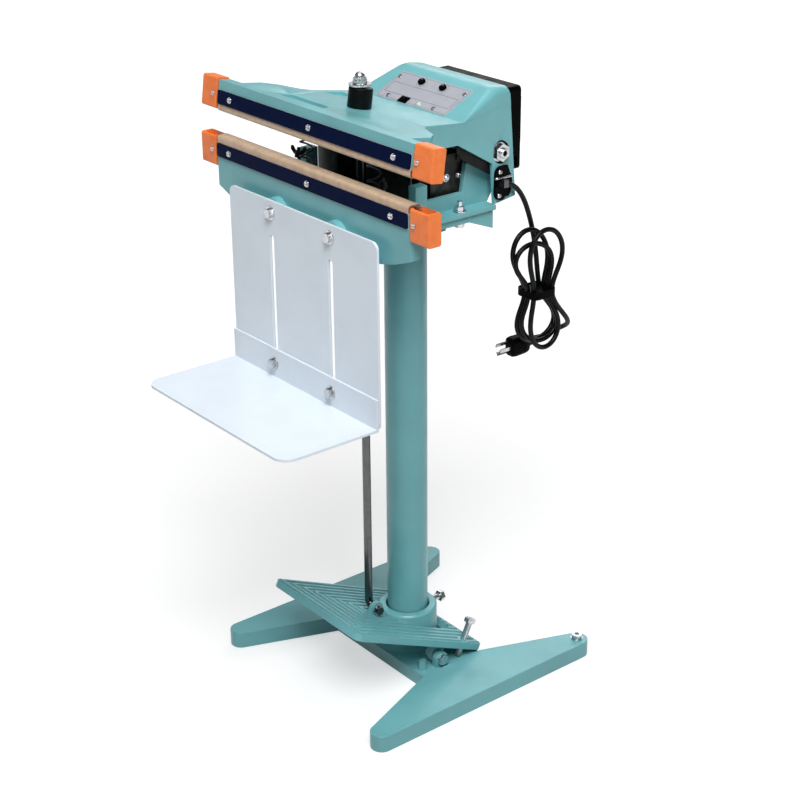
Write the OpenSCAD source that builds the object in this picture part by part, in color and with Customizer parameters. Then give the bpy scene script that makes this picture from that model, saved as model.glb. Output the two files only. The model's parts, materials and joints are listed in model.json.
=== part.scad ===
// Foot-pedal impulse sealer on a pedestal.
// Origin on the floor below the post's axis, +X to the right, +Y to the back, +Z up.
// The arm is drawn closed and then swung open about its pivot, which is how the machine rests.

/* [Base] */
// Distance from the post's axis to the outer edge of each foot
foot_outer_x = 160.5; // [150:0.5:185]
// Length of each foot from front to back
foot_l = 344; // [300:2:400]
// Height of each foot
foot_h = 21.6; // [19:0.2:26]
// Width of a foot at its rounded ends
foot_end_w = 28; // [22:1:36]
// Half length of the cross plate between the feet
cross_half_l = 88.5; // [86:0.5:96]
// Depth of the cross plate from front to back
cross_d = 90; // [84:1:110]
// Thickness of the cross plate
cross_h = 18; // [15:0.5:19]
// Outer radius of the post socket
socket_r = 37; // [33:0.5:38]
// Gap between the post and its socket
socket_gap = 2.4; // [0.5:0.1:4]
// Height of the socket's rim
socket_top = 68; // [60:1:76]

/* [Post] */
// Outer radius of the post
post_r = 25.4; // [22:0.1:27]
// Wall of the post tube
post_wall = 2; // [1.5:0.1:4]
// Height of the post's upper end
post_top = 594; // [560:1:598]
// Thickness of the socket floor that the post stands on
socket_floor = 6; // [4:0.5:10]

/* [Pedal] */
// Half width of the pedal
pedal_half_w = 86; // [82:1:95]
// How far the pedal's pivot lies ahead of the post's axis
pedal_axis_ahead = 12; // [8:1:16]
// Height of the pedal's pivot
pedal_axis_z = 28; // [26:0.5:32]
// Tilt of the pedal at rest
pedal_tilt = 25; // [20:1:27]
// Length of the pedal from its pivot to the front edge, along its slope
pedal_front_l = 156; // [140:1:175]
// Length of the pedal from its pivot to the rear edge, along its slope
pedal_rear_l = 60; // [58:1:66]
// Height of the pedal's tread above its pivot, square to the tread
pedal_rise = 24.9; // [23:0.1:27]
// Thickness of the pedal's plate
pedal_t = 6; // [5:0.5:8]
// Pitch of the pedal's ridges
ridge_pitch = 10.4; // [9:0.1:13]
// Height of the pedal's ridges
ridge_h = 1.6; // [1:0.1:2.5]

/* [Pull rod] */
// Radius of the pull rod
rod_r = 5; // [4:0.1:6]
// How far the rod lies ahead of the post's axis
rod_ahead = 62; // [58:0.5:66]
// Height of the rod's bent end above the pedal's tread
rod_pin_rise = 9; // [8:0.5:12]
// Radius of the rubber pressure sleeve
sleeve_r = 13.6; // [12:0.1:15]
// Height of the rubber pressure sleeve
sleeve_h = 23; // [16:0.5:26]

/* [Head] */
// Height of the closed sealing face
seal_z = 664; // [650:1:690]
// Distance of the jaws' front face ahead of the post's axis
jaw_ahead = 136.5; // [130:0.5:145]
// Half length of the sealing bars
jaw_half_l = 177; // [170:1:190]
// Depth of the sealing bars from front to back
jaw_d = 15; // [12:0.5:20]
// Height of the clamp strips
strip_h = 16; // [12:0.5:18]
// Thickness of the clamp strips
strip_t = 1.6; // [1:0.1:2.5]
// Thickness of the non-stick tape
tape_t = 0.5; // [0.3:0.1:0.8]
// Thickness of the backing pads
pad_h = 7.5; // [6:0.5:9]
// Gap left between the closed jaws
jaw_gap = 0.3; // [0.2:0.1:0.6]
// How far the arm's pivot lies behind the post's axis
pivot_behind = 65; // [60:0.5:70]
// Radius of the pivot axle
axle_r = 6; // [5:0.1:7]
// Angle by which the arm stands open
open_deg = 8; // [6:0.5:9]
// Thickness of the arm's plate
plate_t = 6; // [5:0.5:8]
// Wall of the hood
hood_wall = 5; // [4:0.5:6]
// Height of the arm plate's top above the sealing face
plate_rise = 36; // [34:0.5:40]
// Height of the hood's roof above the arm plate
roof_rise = 30; // [26:1:36]
// Half width of the hood at its front, at the height of the plate
hood_half_w = 103; // [101:0.5:108]
// Depth of the rear cover
cover_d = 30; // [24:1:36]
// Half width of the rear cover
cover_half_w = 66; // [60:1:72]

/* [Panel] */
// Width of the panel plate
label_w = 124; // [116:1:136]
// Depth of the panel plate along the slope
label_d = 47; // [44:0.5:48]
// Radius of the dial shafts' knobs
dial_r = 4.4; // [3.8:0.1:6]

/* [Tray] */
// Half width of the tray
tray_half_w = 137.3; // [125:0.5:145]
// Height of the tray plate's lower edge
tray_low_z = 401; // [380:1:420]
// Thickness of the tray's sheets
tray_t = 3; // [2:0.5:4]
// Reach of the shelf ahead of the tray plate
shelf_reach = 128; // [100:1:150]
// Height of the shelf's flange
flange_h = 38; // [34:1:44]
// Distance of the tray's bolts from the middle
tray_bolt_x = 55; // [45:1:65]
// Half width of the tray's slots
slot_r = 3.9; // [3.6:0.1:4.5]
// Distance from the tray's fixed bolts down to the upper ends of its slots
slot_drop = 26; // [20:1:50]
// Radius of the tray's bolts
tray_bolt_r = 3; // [2.5:0.1:3.4]

/* [Cord] */
// Radius of the mains cord
cord_r = 3; // [2.5:0.1:3.5]
// Thickness of the hanging hank
hank_t = 30; // [24:1:36]

/* [Hidden] */
$fn = 48;

teal = "#79B4BA";
orange = "#FF8844";
navy = "#0A1740";
tan_tape = "#C8AE8E";
steel = "#C9CDD0";
black = "#1C1D1F";
brass = "#B8943F";
clear_sheet = "#DDE6EE";

run_fit = 0.05;     // radial clearance of a pin that turns in its hole
seat = 0.3;         // gap between pieces that only lie near each other
big = 1000;         // reaches past every solid in a cut
m8_flat = 13;       // across the flats of the large bolts
m8_r = 4;
m8_head = 5.3;
m4_r = 2;
m4_head_r = 3.6;

jaw_y = -jaw_ahead;
rod_y = -rod_ahead;
pivot_y = pivot_behind;
pivot_z = seal_z;
plate_z = seal_z + plate_rise;       // top of the arm's plate when closed
roof_z = plate_z + roof_rise;

// ---------- shared shapes ----------

// A hexagonal prism from the origin up, by its width across flats
module hex_prism(flat, h) cylinder(r = flat / 2 / cos(30), h = h, $fn = 6);

// A bolt whose head stands on z = 0 and whose shank points down
module hex_bolt(r, flat, head, l) {
    hex_prism(flat, head);
    translate([0, 0, -l]) cylinder(r = r, h = l + 1);
}

// A pan-head screw whose head stands on z = 0 and whose shank points down
module pan_screw(r, head_r, head_h, l) {
    difference() {
        rotate_extrude() {
            square([head_r, head_h * 0.45]);
            translate([0, head_h * 0.45]) square([head_r * 0.8, head_h * 0.55]);
        }
        translate([-head_r, -0.4, head_h * 0.6]) cube([2 * head_r, 0.8, head_h]);
    }
    translate([0, 0, -l]) cylinder(r = r, h = l + 0.1);
}

// A ring of the given radii
module ring(r_out, r_in, h) difference() {
    cylinder(r = r_out, h = h);
    translate([0, 0, -1]) cylinder(r = r_in, h = h + 2);
}

// Points what is drawn up the Z axis to the front or to the right
module to_front() rotate([90, 0, 0]) children();
module to_right() rotate([0, 90, 0]) children();
module both_sides() { children(); mirror([1, 0, 0]) children(); }

// A rectangle from (0, 0) whose four corners are rounded
module round_rect(w, h, r) {
    translate([r, 0]) square([w - 2 * r, h]);
    translate([0, r]) square([w, h - 2 * r]);
    for (x = [r, w - r], y = [r, h - r]) translate([x, y]) circle(r = r);
}

// The machine's fixed side view extruded across the width: points are (y, z)
module across(half_w, points)
    translate([-half_w, 0, 0]) rotate([90, 0, 90]) linear_extrude(2 * half_w) polygon(points);

// ---------- the arm's own frame ----------

// Turns what is drawn closed to the open rest position
module arm_open() translate([0, pivot_y, pivot_z]) rotate([-open_deg, 0, 0])
    translate([0, -pivot_y, -pivot_z]) children();

// Open position of a point of the closed arm
function open_y(y, z) = pivot_y + (y - pivot_y) * cos(open_deg) + (z - pivot_z) * sin(open_deg);
function open_z(y, z) = pivot_z - (y - pivot_y) * sin(open_deg) + (z - pivot_z) * cos(open_deg);

hood_front_y = -66;
hood_toe = 7.5;
hood_draft = 6.7;
panel_y = 0;                         // where the sloping panel leaves the plate
roof_y = 44;
hood_edge = 14;                      // width taken off the roof's long edges
rear_y = 77;                         // upper rear edge of the closed hood
strip_low_z = seal_z - 50;           // lower end of the hood's rear corners
panel_deg = atan2(roof_rise, roof_y - panel_y);

// Rear face of the closed hood, which is upright when the arm stands open
function hood_rear(z) = rear_y + (roof_z - z) * tan(open_deg);

// Distance of the hood's flank from the middle plane
function flank(y, z) = hood_half_w - (y - hood_front_y) * tan(hood_toe) - (z - plate_z) * tan(hood_draft);

// Cuts away what lies outside the two flanks, moved in by the inset
module flank_cuts(inset) both_sides()
    translate([hood_half_w - inset, hood_front_y, plate_z])
        rotate([0, -hood_draft, 0]) rotate([0, 0, hood_toe])
            translate([0, -big / 2, -big / 2]) cube(big);

// Takes off the long edges of the roof, and those of the panel more and more towards the roof
module edge_cuts(inset) both_sides() {
    slope_l = norm([roof_y - panel_y, roof_rise]);
    taper = atan2(flank(panel_y, plate_z) - flank(roof_y, roof_z) + hood_edge, slope_l);
    translate([flank(roof_y, roof_z) - hood_edge, roof_y, roof_z - inset / cos(45)])
        rotate([0, 0, hood_toe]) rotate([0, 45, 0]) translate([-big / 2, -big / 2, 0]) cube(big);
    on_panel() translate([flank(panel_y, plate_z), 0, -inset / cos(45)])
        rotate([0, 0, taper]) rotate([0, 45, 0]) translate([-big / 2, 0, 0]) cube(big);
}

// Places what is drawn flat onto the closed arm's sloping panel: x across, y up the slope
module on_panel() translate([0, panel_y, plate_z]) rotate([panel_deg, 0, 0]) children();

// ---------- base ----------

foot_end_r = foot_end_w / 2;
foot_end_x = foot_outer_x - foot_end_r;
foot_end_y = foot_l / 2 - foot_end_r;
tongue_l = 30;
tongue_half_d = 30;
tongue_low = 7;
tongue_h = 7;
foot_bolt_x = cross_half_l + tongue_l / 2;
foot_bolt_y = 18;
level_y = foot_end_y;

// Plan of the right foot: two round ends and a body that widens to the cross plate
module foot_plan() {
    lean = atan2(foot_end_x - cross_half_l, foot_end_y - cross_d / 2);
    tip_x = foot_end_x - foot_end_r * cos(lean);
    tip_y = foot_end_y + foot_end_r * sin(lean);
    for (s = [-1, 1]) translate([foot_end_x, s * foot_end_y]) circle(r = foot_end_r);
    polygon([[foot_outer_x, -foot_end_y], [foot_outer_x, foot_end_y], [foot_end_x, foot_end_y],
        [tip_x, tip_y], [cross_half_l, cross_d / 2], [cross_half_l, -cross_d / 2],
        [tip_x, -tip_y], [foot_end_x, -foot_end_y]]);
}

module foot_right_solid(levelled) difference() {
    linear_extrude(foot_h) foot_plan();
    translate([cross_half_l - 1, -tongue_half_d - seat, -1])
        cube([tongue_l + 1 + seat, 2 * (tongue_half_d + seat), tongue_low + tongue_h + 1]);
    for (s = [-1, 1]) translate([foot_bolt_x, s * foot_bolt_y, 0]) cylinder(r = m8_r, h = cross_h);
    if (levelled) translate([foot_end_x, level_y, -1]) cylinder(r = m8_r, h = foot_h + 2);
}

module foot_right() color(teal) foot_right_solid(true);
module foot_left() color(teal) mirror([1, 0, 0]) foot_right_solid(false);

module foot_bolts() color(steel) both_sides() for (s = [-1, 1])
    translate([foot_bolt_x, s * foot_bolt_y, tongue_low]) mirror([0, 0, 1])
        hex_bolt(m8_r, m8_flat, m8_head, cross_h - tongue_low);

module levelling_screw() color(steel) translate([foot_end_x, level_y, foot_h]) difference() {
    union() {
        cylinder(r = m8_flat / 2 + 1.5, h = 1.4);
        translate([0, 0, 1.4]) cylinder(r = m8_flat / 2, h = m8_head);
        translate([0, 0, 0.5 - foot_h]) cylinder(r = m8_r, h = foot_h);
    }
    translate([0, 0, 3]) hex_prism(6, m8_head);
}

lug_t = 8;
lug_r = 9;
// The lugs stand just inside the pedal's sides, and the pedal's ears inside the lugs
lug_out = pedal_half_w - 4;
lug_in = lug_out - lug_t;
ear_out = lug_in - 2.5;
ear_in = ear_out - lug_t;
stop_boss_x = pedal_half_w - 15;
stop_boss_y = -34;
stop_boss_r = 6;
stop_boss_h = 12;
set_screw_z = 57;
set_screw_l = 26;

module base_plate() color(teal) difference() {
    union() {
        translate([-cross_half_l, -cross_d / 2, 0]) cube([2 * cross_half_l, cross_d, cross_h]);
        both_sides() translate([cross_half_l - 1, -tongue_half_d, tongue_low])
            cube([tongue_l + 1, 2 * tongue_half_d, tongue_h]);
        rotate_extrude() polygon([[0, 0], [socket_r + 6, 0], [socket_r + 6, cross_h], [socket_r, cross_h + 6],
            [socket_r, socket_top - 2], [socket_r - 2, socket_top],
            [post_r + socket_gap + 1.5, socket_top], [0, socket_top]]);
        // boss for the set screw at the back
        translate([0, socket_r - 3, set_screw_z]) rotate([-90, 0, 0]) cylinder(r = 7.5, h = 4.5);
        // lugs that carry the pedal
        both_sides() translate([lug_in, -pedal_axis_ahead, 0]) {
            translate([0, -lug_r, cross_h - 1]) cube([lug_t, 2 * lug_r, pedal_axis_z - cross_h + 1]);
            translate([0, 0, pedal_axis_z]) to_right() cylinder(r = lug_r, h = lug_t);
        }
        both_sides() translate([stop_boss_x, stop_boss_y, cross_h - 1])
            cylinder(r1 = stop_boss_r, r2 = stop_boss_r * 0.7, h = stop_boss_h + 1);
    }
    translate([0, 0, socket_floor]) cylinder(r = post_r + socket_gap, h = big);
    translate([0, post_r, set_screw_z]) rotate([-90, 0, 0]) cylinder(r = m8_r, h = big);
    both_sides() translate([lug_in - 1, -pedal_axis_ahead, pedal_axis_z]) to_right()
        cylinder(r = m8_r, h = lug_t + 2);
    both_sides() for (s = [-1, 1]) translate([foot_bolt_x, s * foot_bolt_y, 0])
        cylinder(r = m8_r, h = cross_h + 1);
}

module socket_screw() color(steel) translate([0, post_r + seat, set_screw_z]) rotate([-90, 0, 0]) {
    cylinder(r = m8_r, h = set_screw_l + 1);
    translate([0, 0, set_screw_l]) hex_prism(m8_flat, m8_head);
}

module post_tube() color(teal) translate([0, 0, socket_floor])
    ring(post_r, post_r - post_wall, post_top - socket_floor);

// ---------- pedal ----------

// Places what is drawn flat: the pivot on the X axis, y back along the slope, z square to the tread
module pedal_rest() translate([0, -pedal_axis_ahead, pedal_axis_z]) rotate([-pedal_tilt, 0, 0]) children();

hole_half_w = socket_r + 4.5;
hole_front = -46;
hole_rear = 49.5;
pedal_corner = 9;
rim_drop = 2.5;
rod_pin_h = pedal_rise + rod_pin_rise;
// Where the rod's bent end crosses the pedal's own slope
rod_pin_v = (rod_y + pedal_axis_ahead - rod_pin_h * sin(pedal_tilt)) / cos(pedal_tilt);
rod_pin_z = pedal_axis_z - rod_pin_v * sin(pedal_tilt) + rod_pin_h * cos(pedal_tilt);
rod_ear_x = 11;
rod_ear_t = 6;
rod_ear_r = 9;
stop_screw_x = pedal_half_w - 8;
stop_screw_v = 30;
stop_screw_up = 30;
ridge_w = 4.2;
ridge_rows = 8;
// Length of the stop screw below the tread, so that it stands on the cross plate
stop_screw_down = (pedal_axis_z - cross_h - seat - stop_screw_v * sin(pedal_tilt)) / cos(pedal_tilt)
    + pedal_rise - m8_r * tan(pedal_tilt);

// One U of raised ridge, inset from the pedal's edges
module ridge_u(inset) {
    x = pedal_half_w - inset;
    front = -pedal_front_l + inset;
    rear = pedal_rear_l - 5;
    side_in = x - ridge_w;
    linear_extrude(ridge_h) {
        translate([-x, front]) square([2 * x, ridge_w]);
        for (s = [0, 1]) mirror([s, 0]) translate([side_in, front]) square([ridge_w, rear - front]);
    }
}

module pedal() color(teal) pedal_rest() difference() {
    union() {
        // plate with a lip around it
        difference() {
            translate([-pedal_half_w, -pedal_front_l, pedal_rise - pedal_t - rim_drop])
                linear_extrude(pedal_t + rim_drop)
                    round_rect(2 * pedal_half_w, pedal_front_l + pedal_rear_l, pedal_corner);
            translate([-pedal_half_w + 6, -pedal_front_l + 6, pedal_rise - pedal_t - 5])
                cube([2 * pedal_half_w - 12, pedal_front_l + hole_front - 12, 5]);
            both_sides() translate([hole_half_w + 6, hole_front, pedal_rise - pedal_t - 5])
                cube([ear_in - 4 - hole_half_w - 6, hole_rear - hole_front, 5]);
        }
        intersection() {
            translate([0, 0, pedal_rise - 0.01])
                for (i = [0:ridge_rows - 1]) ridge_u(4 + i * ridge_pitch);
            translate([-pedal_half_w, -pedal_front_l, 0])
                linear_extrude(big) round_rect(2 * pedal_half_w, pedal_front_l + pedal_rear_l, pedal_corner);
        }
        // ears on the pivot bolts
        both_sides() translate([ear_in, 0, 0]) {
            to_right() cylinder(r = lug_r, h = ear_out - ear_in);
            translate([0, -lug_r, 0]) cube([ear_out - ear_in, 2 * lug_r, pedal_rise - pedal_t]);
        }
        // ear that takes the rod's bent end
        translate([rod_ear_x, rod_pin_v, rod_pin_h]) {
            to_right() cylinder(r = rod_ear_r, h = rod_ear_t);
            translate([0, -rod_ear_r, pedal_rise - rod_pin_h - 1])
                cube([rod_ear_t, 2 * rod_ear_r, rod_pin_h - pedal_rise + 1]);
        }
        // pad of the stop screw
        translate([stop_screw_x, stop_screw_v, pedal_rise - pedal_t]) cylinder(r = 8, h = pedal_t + ridge_h);
    }
    // opening around the post socket
    translate([-hole_half_w, hole_front, 0])
        linear_extrude(big) round_rect(2 * hole_half_w, hole_rear - hole_front, 20);
    both_sides() translate([ear_in - 1, 0, 0]) to_right()
        cylinder(r = m8_r + run_fit, h = ear_out - ear_in + 2);
    translate([rod_ear_x - 1, rod_pin_v, rod_pin_h]) to_right()
        cylinder(r = rod_r + run_fit, h = rod_ear_t + 2);
    translate([stop_screw_x, stop_screw_v, 0]) cylinder(r = m8_r, h = big);
}

module pedal_stop_screw() color(steel) pedal_rest() translate([stop_screw_x, stop_screw_v, pedal_rise]) {
    translate([0, 0, -stop_screw_down]) cylinder(r = m8_r, h = stop_screw_down + stop_screw_up);
    translate([0, 0, stop_screw_up - m8_head]) hex_prism(m8_flat, m8_head);
}

module pedal_pivot_bolts() color(steel) both_sides()
    translate([lug_out, -pedal_axis_ahead, pedal_axis_z]) to_right() {
        hex_bolt(m8_r, m8_flat, m8_head, lug_out - ear_in + 6);
        translate([0, 0, ear_in - lug_out - 5.5]) hex_prism(m8_flat, 5);
    }

// ---------- pull rod ----------

rod_bend = 8;
washer_t = 2;
nut_t = 4.6;
thread_r = 4;
// Height of the arm plate's open top at the rod, and of the sleeve's two ends
plate_open_z = pivot_z + plate_rise / cos(open_deg) + (pivot_y - rod_y) * tan(open_deg);
sleeve_low = plate_open_z + sleeve_r * tan(open_deg);
sleeve_top = sleeve_low + sleeve_h;
rod_top = sleeve_top + washer_t + nut_t;
dome_r = 5.9;
dome_base = 2.4;

module pull_rod() color(steel) translate([0, rod_y, 0]) {
    translate([0, 0, rod_pin_z + rod_bend]) cylinder(r = rod_r, h = sleeve_top - rod_pin_z - rod_bend);
    translate([0, 0, sleeve_top - 1]) cylinder(r = thread_r, h = rod_top - sleeve_top + 3);
    translate([rod_bend, 0, rod_pin_z + rod_bend]) rotate([90, 0, 0]) rotate([0, 0, 180])
        rotate_extrude(angle = 90) translate([rod_bend, 0]) circle(r = rod_r);
    translate([rod_bend, 0, rod_pin_z]) to_right()
        cylinder(r = rod_r, h = rod_ear_x + rod_ear_t + 7 - rod_bend);
}

module rod_nuts() color(steel) translate([0, rod_y, 0]) {
    translate([0, 0, sleeve_top + seat]) ring(sleeve_r - 1, thread_r, washer_t);
    translate([0, 0, sleeve_top + seat + washer_t]) difference() {
        hex_prism(m8_flat + 1, nut_t - 0.4);
        translate([0, 0, -1]) cylinder(r = thread_r, h = nut_t + 2);
    }
    // domed cap nut on the end of the thread
    translate([0, 0, rod_top + seat]) difference() {
        union() {
            hex_prism(m8_flat, dome_base);
            rotate_extrude() translate([0, dome_base]) intersection() {
                circle(r = dome_r);
                square(dome_r + 1);
            }
        }
        translate([0, 0, -1]) cylinder(r = thread_r, h = 3 - seat);
    }
    // clip on the rod's bent end
    translate([rod_ear_x + rod_ear_t + 1, 0, rod_pin_z]) to_right() ring(rod_r + 2, rod_r, 1.5);
}

// ---------- head, fixed part ----------

ledge_half_w = 98;
ledge_low = seal_z - 62;
ledge_t = 5.5;
frame_rear_y = 52;
wall_rear_y = 76;
wall_out = 79;
wall_t = 6;
wall_front_y = 18;
wall_low_h = 22;         // height of the side wall ahead of its rise
pillar_in = 93;
pillar_w = 12;
pillar_front_y = -70;
pillar_rear_y = -54;
pillar_top = seal_z - 11;
beam_top = seal_z - tape_t - pad_h;
beam_end_low = seal_z - 60;
beam_chamfer = 27;
beam_chamfer_h = 10;
beam_slope_l = 70;         // from the beam's end to its deep middle
beam_mid_low = seal_z - 80;
tray_bolt_z = seal_z - 62;
tray_boss_r = 17;
tray_back_y = jaw_y - 9;
strip_drop = 8.6;
ear_r = 15;
ledge_bolt_y = 5;
ledge_bolt_pitch = 50;
ledge_bolt_x = 90;
bracket_t = 8;
bracket_low = ledge_low - bracket_t;
bracket_socket_h = 38;
bracket_socket_low = bracket_low - bracket_socket_h;
bracket_front_y = -52;
bracket_d = 102;

// The four bolts between the head's ledges and the bracket
module at_ledge_bolts(z) both_sides() for (y = [ledge_bolt_y - ledge_bolt_pitch, ledge_bolt_y])
    translate([ledge_bolt_x, y, z]) children();

module head_frame() color(teal) difference() {
    union() {
        // jaw beam, deeper in the middle, with its ends cut off aslant
        translate([0, jaw_y + jaw_d, 0]) to_front() linear_extrude(jaw_d)
            polygon([[-jaw_half_l, beam_top], [jaw_half_l, beam_top], [jaw_half_l, beam_end_low],
                [jaw_half_l - beam_chamfer, beam_end_low - beam_chamfer_h],
                [jaw_half_l - beam_slope_l, beam_mid_low], [beam_slope_l - jaw_half_l, beam_mid_low],
                [beam_chamfer - jaw_half_l, beam_end_low - beam_chamfer_h],
                [-jaw_half_l, beam_end_low]]);
        // bosses for the tray
        both_sides() translate([tray_bolt_x, jaw_y + 1, tray_bolt_z]) to_front()
            cylinder(r = tray_boss_r, h = jaw_y + 1 - tray_back_y);
        // floor with its ledges
        translate([-ledge_half_w, jaw_y + jaw_d - 1, ledge_low])
            cube([2 * ledge_half_w, frame_rear_y - jaw_y - jaw_d + 1, ledge_t]);
        // pillars and their webs to the beam
        both_sides() {
            translate([pillar_in, pillar_front_y, ledge_low])
                cube([pillar_w, pillar_rear_y - pillar_front_y, pillar_top - ledge_low]);
            across_at(pillar_in + 2, 8, [[jaw_y + jaw_d - 1, ledge_low],
                [jaw_y + jaw_d - 1, beam_top - tape_back - 3],
                [pillar_front_y + 1, pillar_top - 22], [pillar_front_y + 1, ledge_low]]);
        }
        // side walls that rise to the pivot
        both_sides() across_at(wall_out - wall_t, wall_t, [[pillar_rear_y, ledge_low],
            [pillar_rear_y, ledge_low + wall_low_h], [wall_front_y, ledge_low + wall_low_h],
            [wall_front_y + 5, pivot_z - 8], [pivot_y - 6, pivot_z + ear_r - 4],
            [pivot_y + 6, pivot_z + ear_r - 4], [wall_rear_y, pivot_z - 10],
            [wall_rear_y - 8, ledge_low + 24], [frame_rear_y, ledge_low]]);
        both_sides() translate([wall_out - wall_t - 4, pivot_y, pivot_z]) to_right()
            cylinder(r = ear_r, h = wall_t + 4);
        // low front wall between the pillars
        translate([-pillar_in - 1, pillar_front_y, ledge_low])
            cube([2 * pillar_in + 2, 5, 14]);
    }
    both_sides() translate([wall_out - wall_t - 5, pivot_y, pivot_z]) to_right()
        cylinder(r = axle_r, h = wall_t + 6);
    both_sides() translate([tray_bolt_x, 0, tray_bolt_z]) to_front() cylinder(r = tray_bolt_r, h = big);
    at_ledge_bolts(ledge_low - 1)
        cylinder(r = tray_bolt_r, h = ledge_t + 2);
    lower_jaw_frame() jaw_screw_holes();
    // opening in the floor for the pull rod
    translate([-14, rod_y - 24, ledge_low - 1]) linear_extrude(ledge_t + 20) round_rect(28, 38, 8);
}

// A plate of thickness t whose inner face lies at x, with its side view given
module across_at(x, t, points) translate([x, 0, 0]) rotate([90, 0, 90]) linear_extrude(t) polygon(points);

module post_bracket() color(teal) difference() {
    union() {
        translate([-ledge_half_w + 3, bracket_front_y, bracket_low])
            cube([2 * ledge_half_w - 6, bracket_d, bracket_t]);
        translate([0, 0, bracket_socket_low]) cylinder(r = post_r + 8, h = ledge_low - bracket_socket_low);
        // clamp lugs behind the socket
        translate([-14, post_r, bracket_socket_low]) cube([28, 24, bracket_low - bracket_socket_low + 1]);
        both_sides() across_at(ledge_half_w - 11, 8,
            [[12, bracket_low + 1], [50, bracket_low + 1], [50, bracket_low - 14]]);
    }
    translate([0, 0, bracket_socket_low - 1])
        cylinder(r = post_r + run_fit, h = post_top - bracket_socket_low + 1);
    translate([-1.5, 0, bracket_socket_low - 1]) cube([3, 80, bracket_low - bracket_socket_low + 1]);
    translate([-30, post_r + 15, bracket_low - 19]) to_right() cylinder(r = m8_r, h = 60);
    at_ledge_bolts(bracket_low - 1)
        cylinder(r = tray_bolt_r, h = bracket_t + 2);
}

// Bolts that hold the bracket under the head, and the one that clamps it to the post
module bracket_bolts() color(steel) {
    at_ledge_bolts(bracket_low) {
        mirror([0, 0, 1]) hex_bolt(tray_bolt_r, 10, 4, ledge_low + ledge_t + 12 - bracket_low);
        translate([0, 0, ledge_low + ledge_t - bracket_low]) ring(7.5, tray_bolt_r, 1.4);
        translate([0, 0, ledge_low + ledge_t + 1.4 - bracket_low]) hex_prism(10, 5);
    }
    translate([-14, post_r + 15, bracket_low - 19]) rotate([0, -90, 0]) {
        hex_bolt(m8_r, m8_flat, m8_head, 36);
        translate([0, 0, -28 - 6.5]) hex_prism(m8_flat, 6.5);
    }
}

// ---------- jaws ----------

// Section of the backing pad: depth to the back, rounded outer corners, seen from the side
module pad_section(grow) {
    r = 3 + grow;
    d = jaw_d + 2 * grow;
    translate([-grow, 0]) {
        square([d, pad_h + grow - r]);
        translate([r, 0]) square([d - 2 * r, pad_h + grow]);
        for (y = [r, d - r]) translate([y, pad_h + grow - r]) circle(r = r);
    }
}

ribbon_w = 4;
ribbon_t = 0.3;
pad_half_l = jaw_half_l - 2;
tape_back = 6;           // how far the tape hangs down behind the beam

// Lower jaw's soft parts, with the sealing face up: y = 0 at the beam's front, z = 0 at the beam
module backing_pad_shape() difference() {
    translate([-pad_half_l, 0, 0]) rotate([90, 0, 90]) linear_extrude(2 * pad_half_l) pad_section(0);
    translate([-big / 2, jaw_d / 2 - ribbon_w / 2, pad_h - ribbon_t]) cube([big, ribbon_w, 5]);
}

module ribbon_shape() translate([-jaw_half_l - 10, jaw_d / 2 - ribbon_w / 2, pad_h - ribbon_t])
    cube([2 * jaw_half_l + 20, ribbon_w, ribbon_t]);

module tape_shape() difference() {
    union() {
        translate([-pad_half_l, 0, 0]) rotate([90, 0, 90]) linear_extrude(2 * pad_half_l) pad_section(tape_t);
        translate([-pad_half_l, -tape_t, -strip_h - strip_drop + pad_h + tape_t])
            cube([2 * pad_half_l, tape_t, strip_h + strip_drop - pad_h]);
        translate([-pad_half_l, jaw_d, -tape_back]) cube([2 * pad_half_l, tape_t, tape_back + 0.1]);
    }
    jaw_screw_holes();
    translate([-pad_half_l - 1, 0, 0]) rotate([90, 0, 90]) linear_extrude(2 * pad_half_l + 2) pad_section(0);
}

module clamp_strip_shape() {
    z = pad_h + tape_t - strip_drop - strip_h;
    difference() {
        translate([-seal_half, -tape_t, z]) to_front() linear_extrude(strip_t)
            round_rect(2 * seal_half, strip_h, 2.5);
        jaw_screw_holes();
    }
}
seal_half = jaw_half_l - 2;
strip_screw_in = 28;     // the outer screws stand this far in from the bars' ends
strip_screw_x = jaw_half_l - strip_screw_in;
cap_in = jaw_half_l + 2;
cap_out = cap_in + 29;
cap_h = 36;
cap_d = 17;
cap_wall = 2.2;
cap_top_gap = 1.5;       // the caps stand back from the sealing face by this much
cap_screw_x = cap_in + 6;
cap_screw_z = -cap_top_gap - 17;
terminal_z = -18;

// Screws of one jaw: three in the strip and one in each cap, drawn on the lower jaw's frame
module jaw_screw_shapes() {
    z = pad_h + tape_t - strip_drop - strip_h / 2;
    for (x = [-1, 0.02, 1] * strip_screw_x) translate([x, -tape_t - strip_t, z]) to_front()
        pan_screw(m4_r, m4_head_r, 2.4, 9);
    for (s = [-1, 1]) translate([s * cap_screw_x, -1.2 - seat, pad_h + tape_t + cap_screw_z]) to_front()
        pan_screw(1.6, 2.8, 1.8, 4);
}

// Holes of the strip's screws, through the strip and tape into the beam
module jaw_screw_holes() {
    z = pad_h + tape_t - strip_drop - strip_h / 2;
    for (x = [-1, 0.02, 1] * strip_screw_x) translate([x, 8.5, z]) to_front() cylinder(r = m4_r, h = 16);
}

// The brass bar at each end of a jaw, with its two terminal screws
module terminal_shapes() both_sides() translate([jaw_half_l, 3, pad_h + tape_t + terminal_z]) {
    cube([22, 9, 8]);
    for (x = [9, 17]) translate([x, 4.5, 8]) pan_screw(1.6, 3, 2.4, 5);
}

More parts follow.
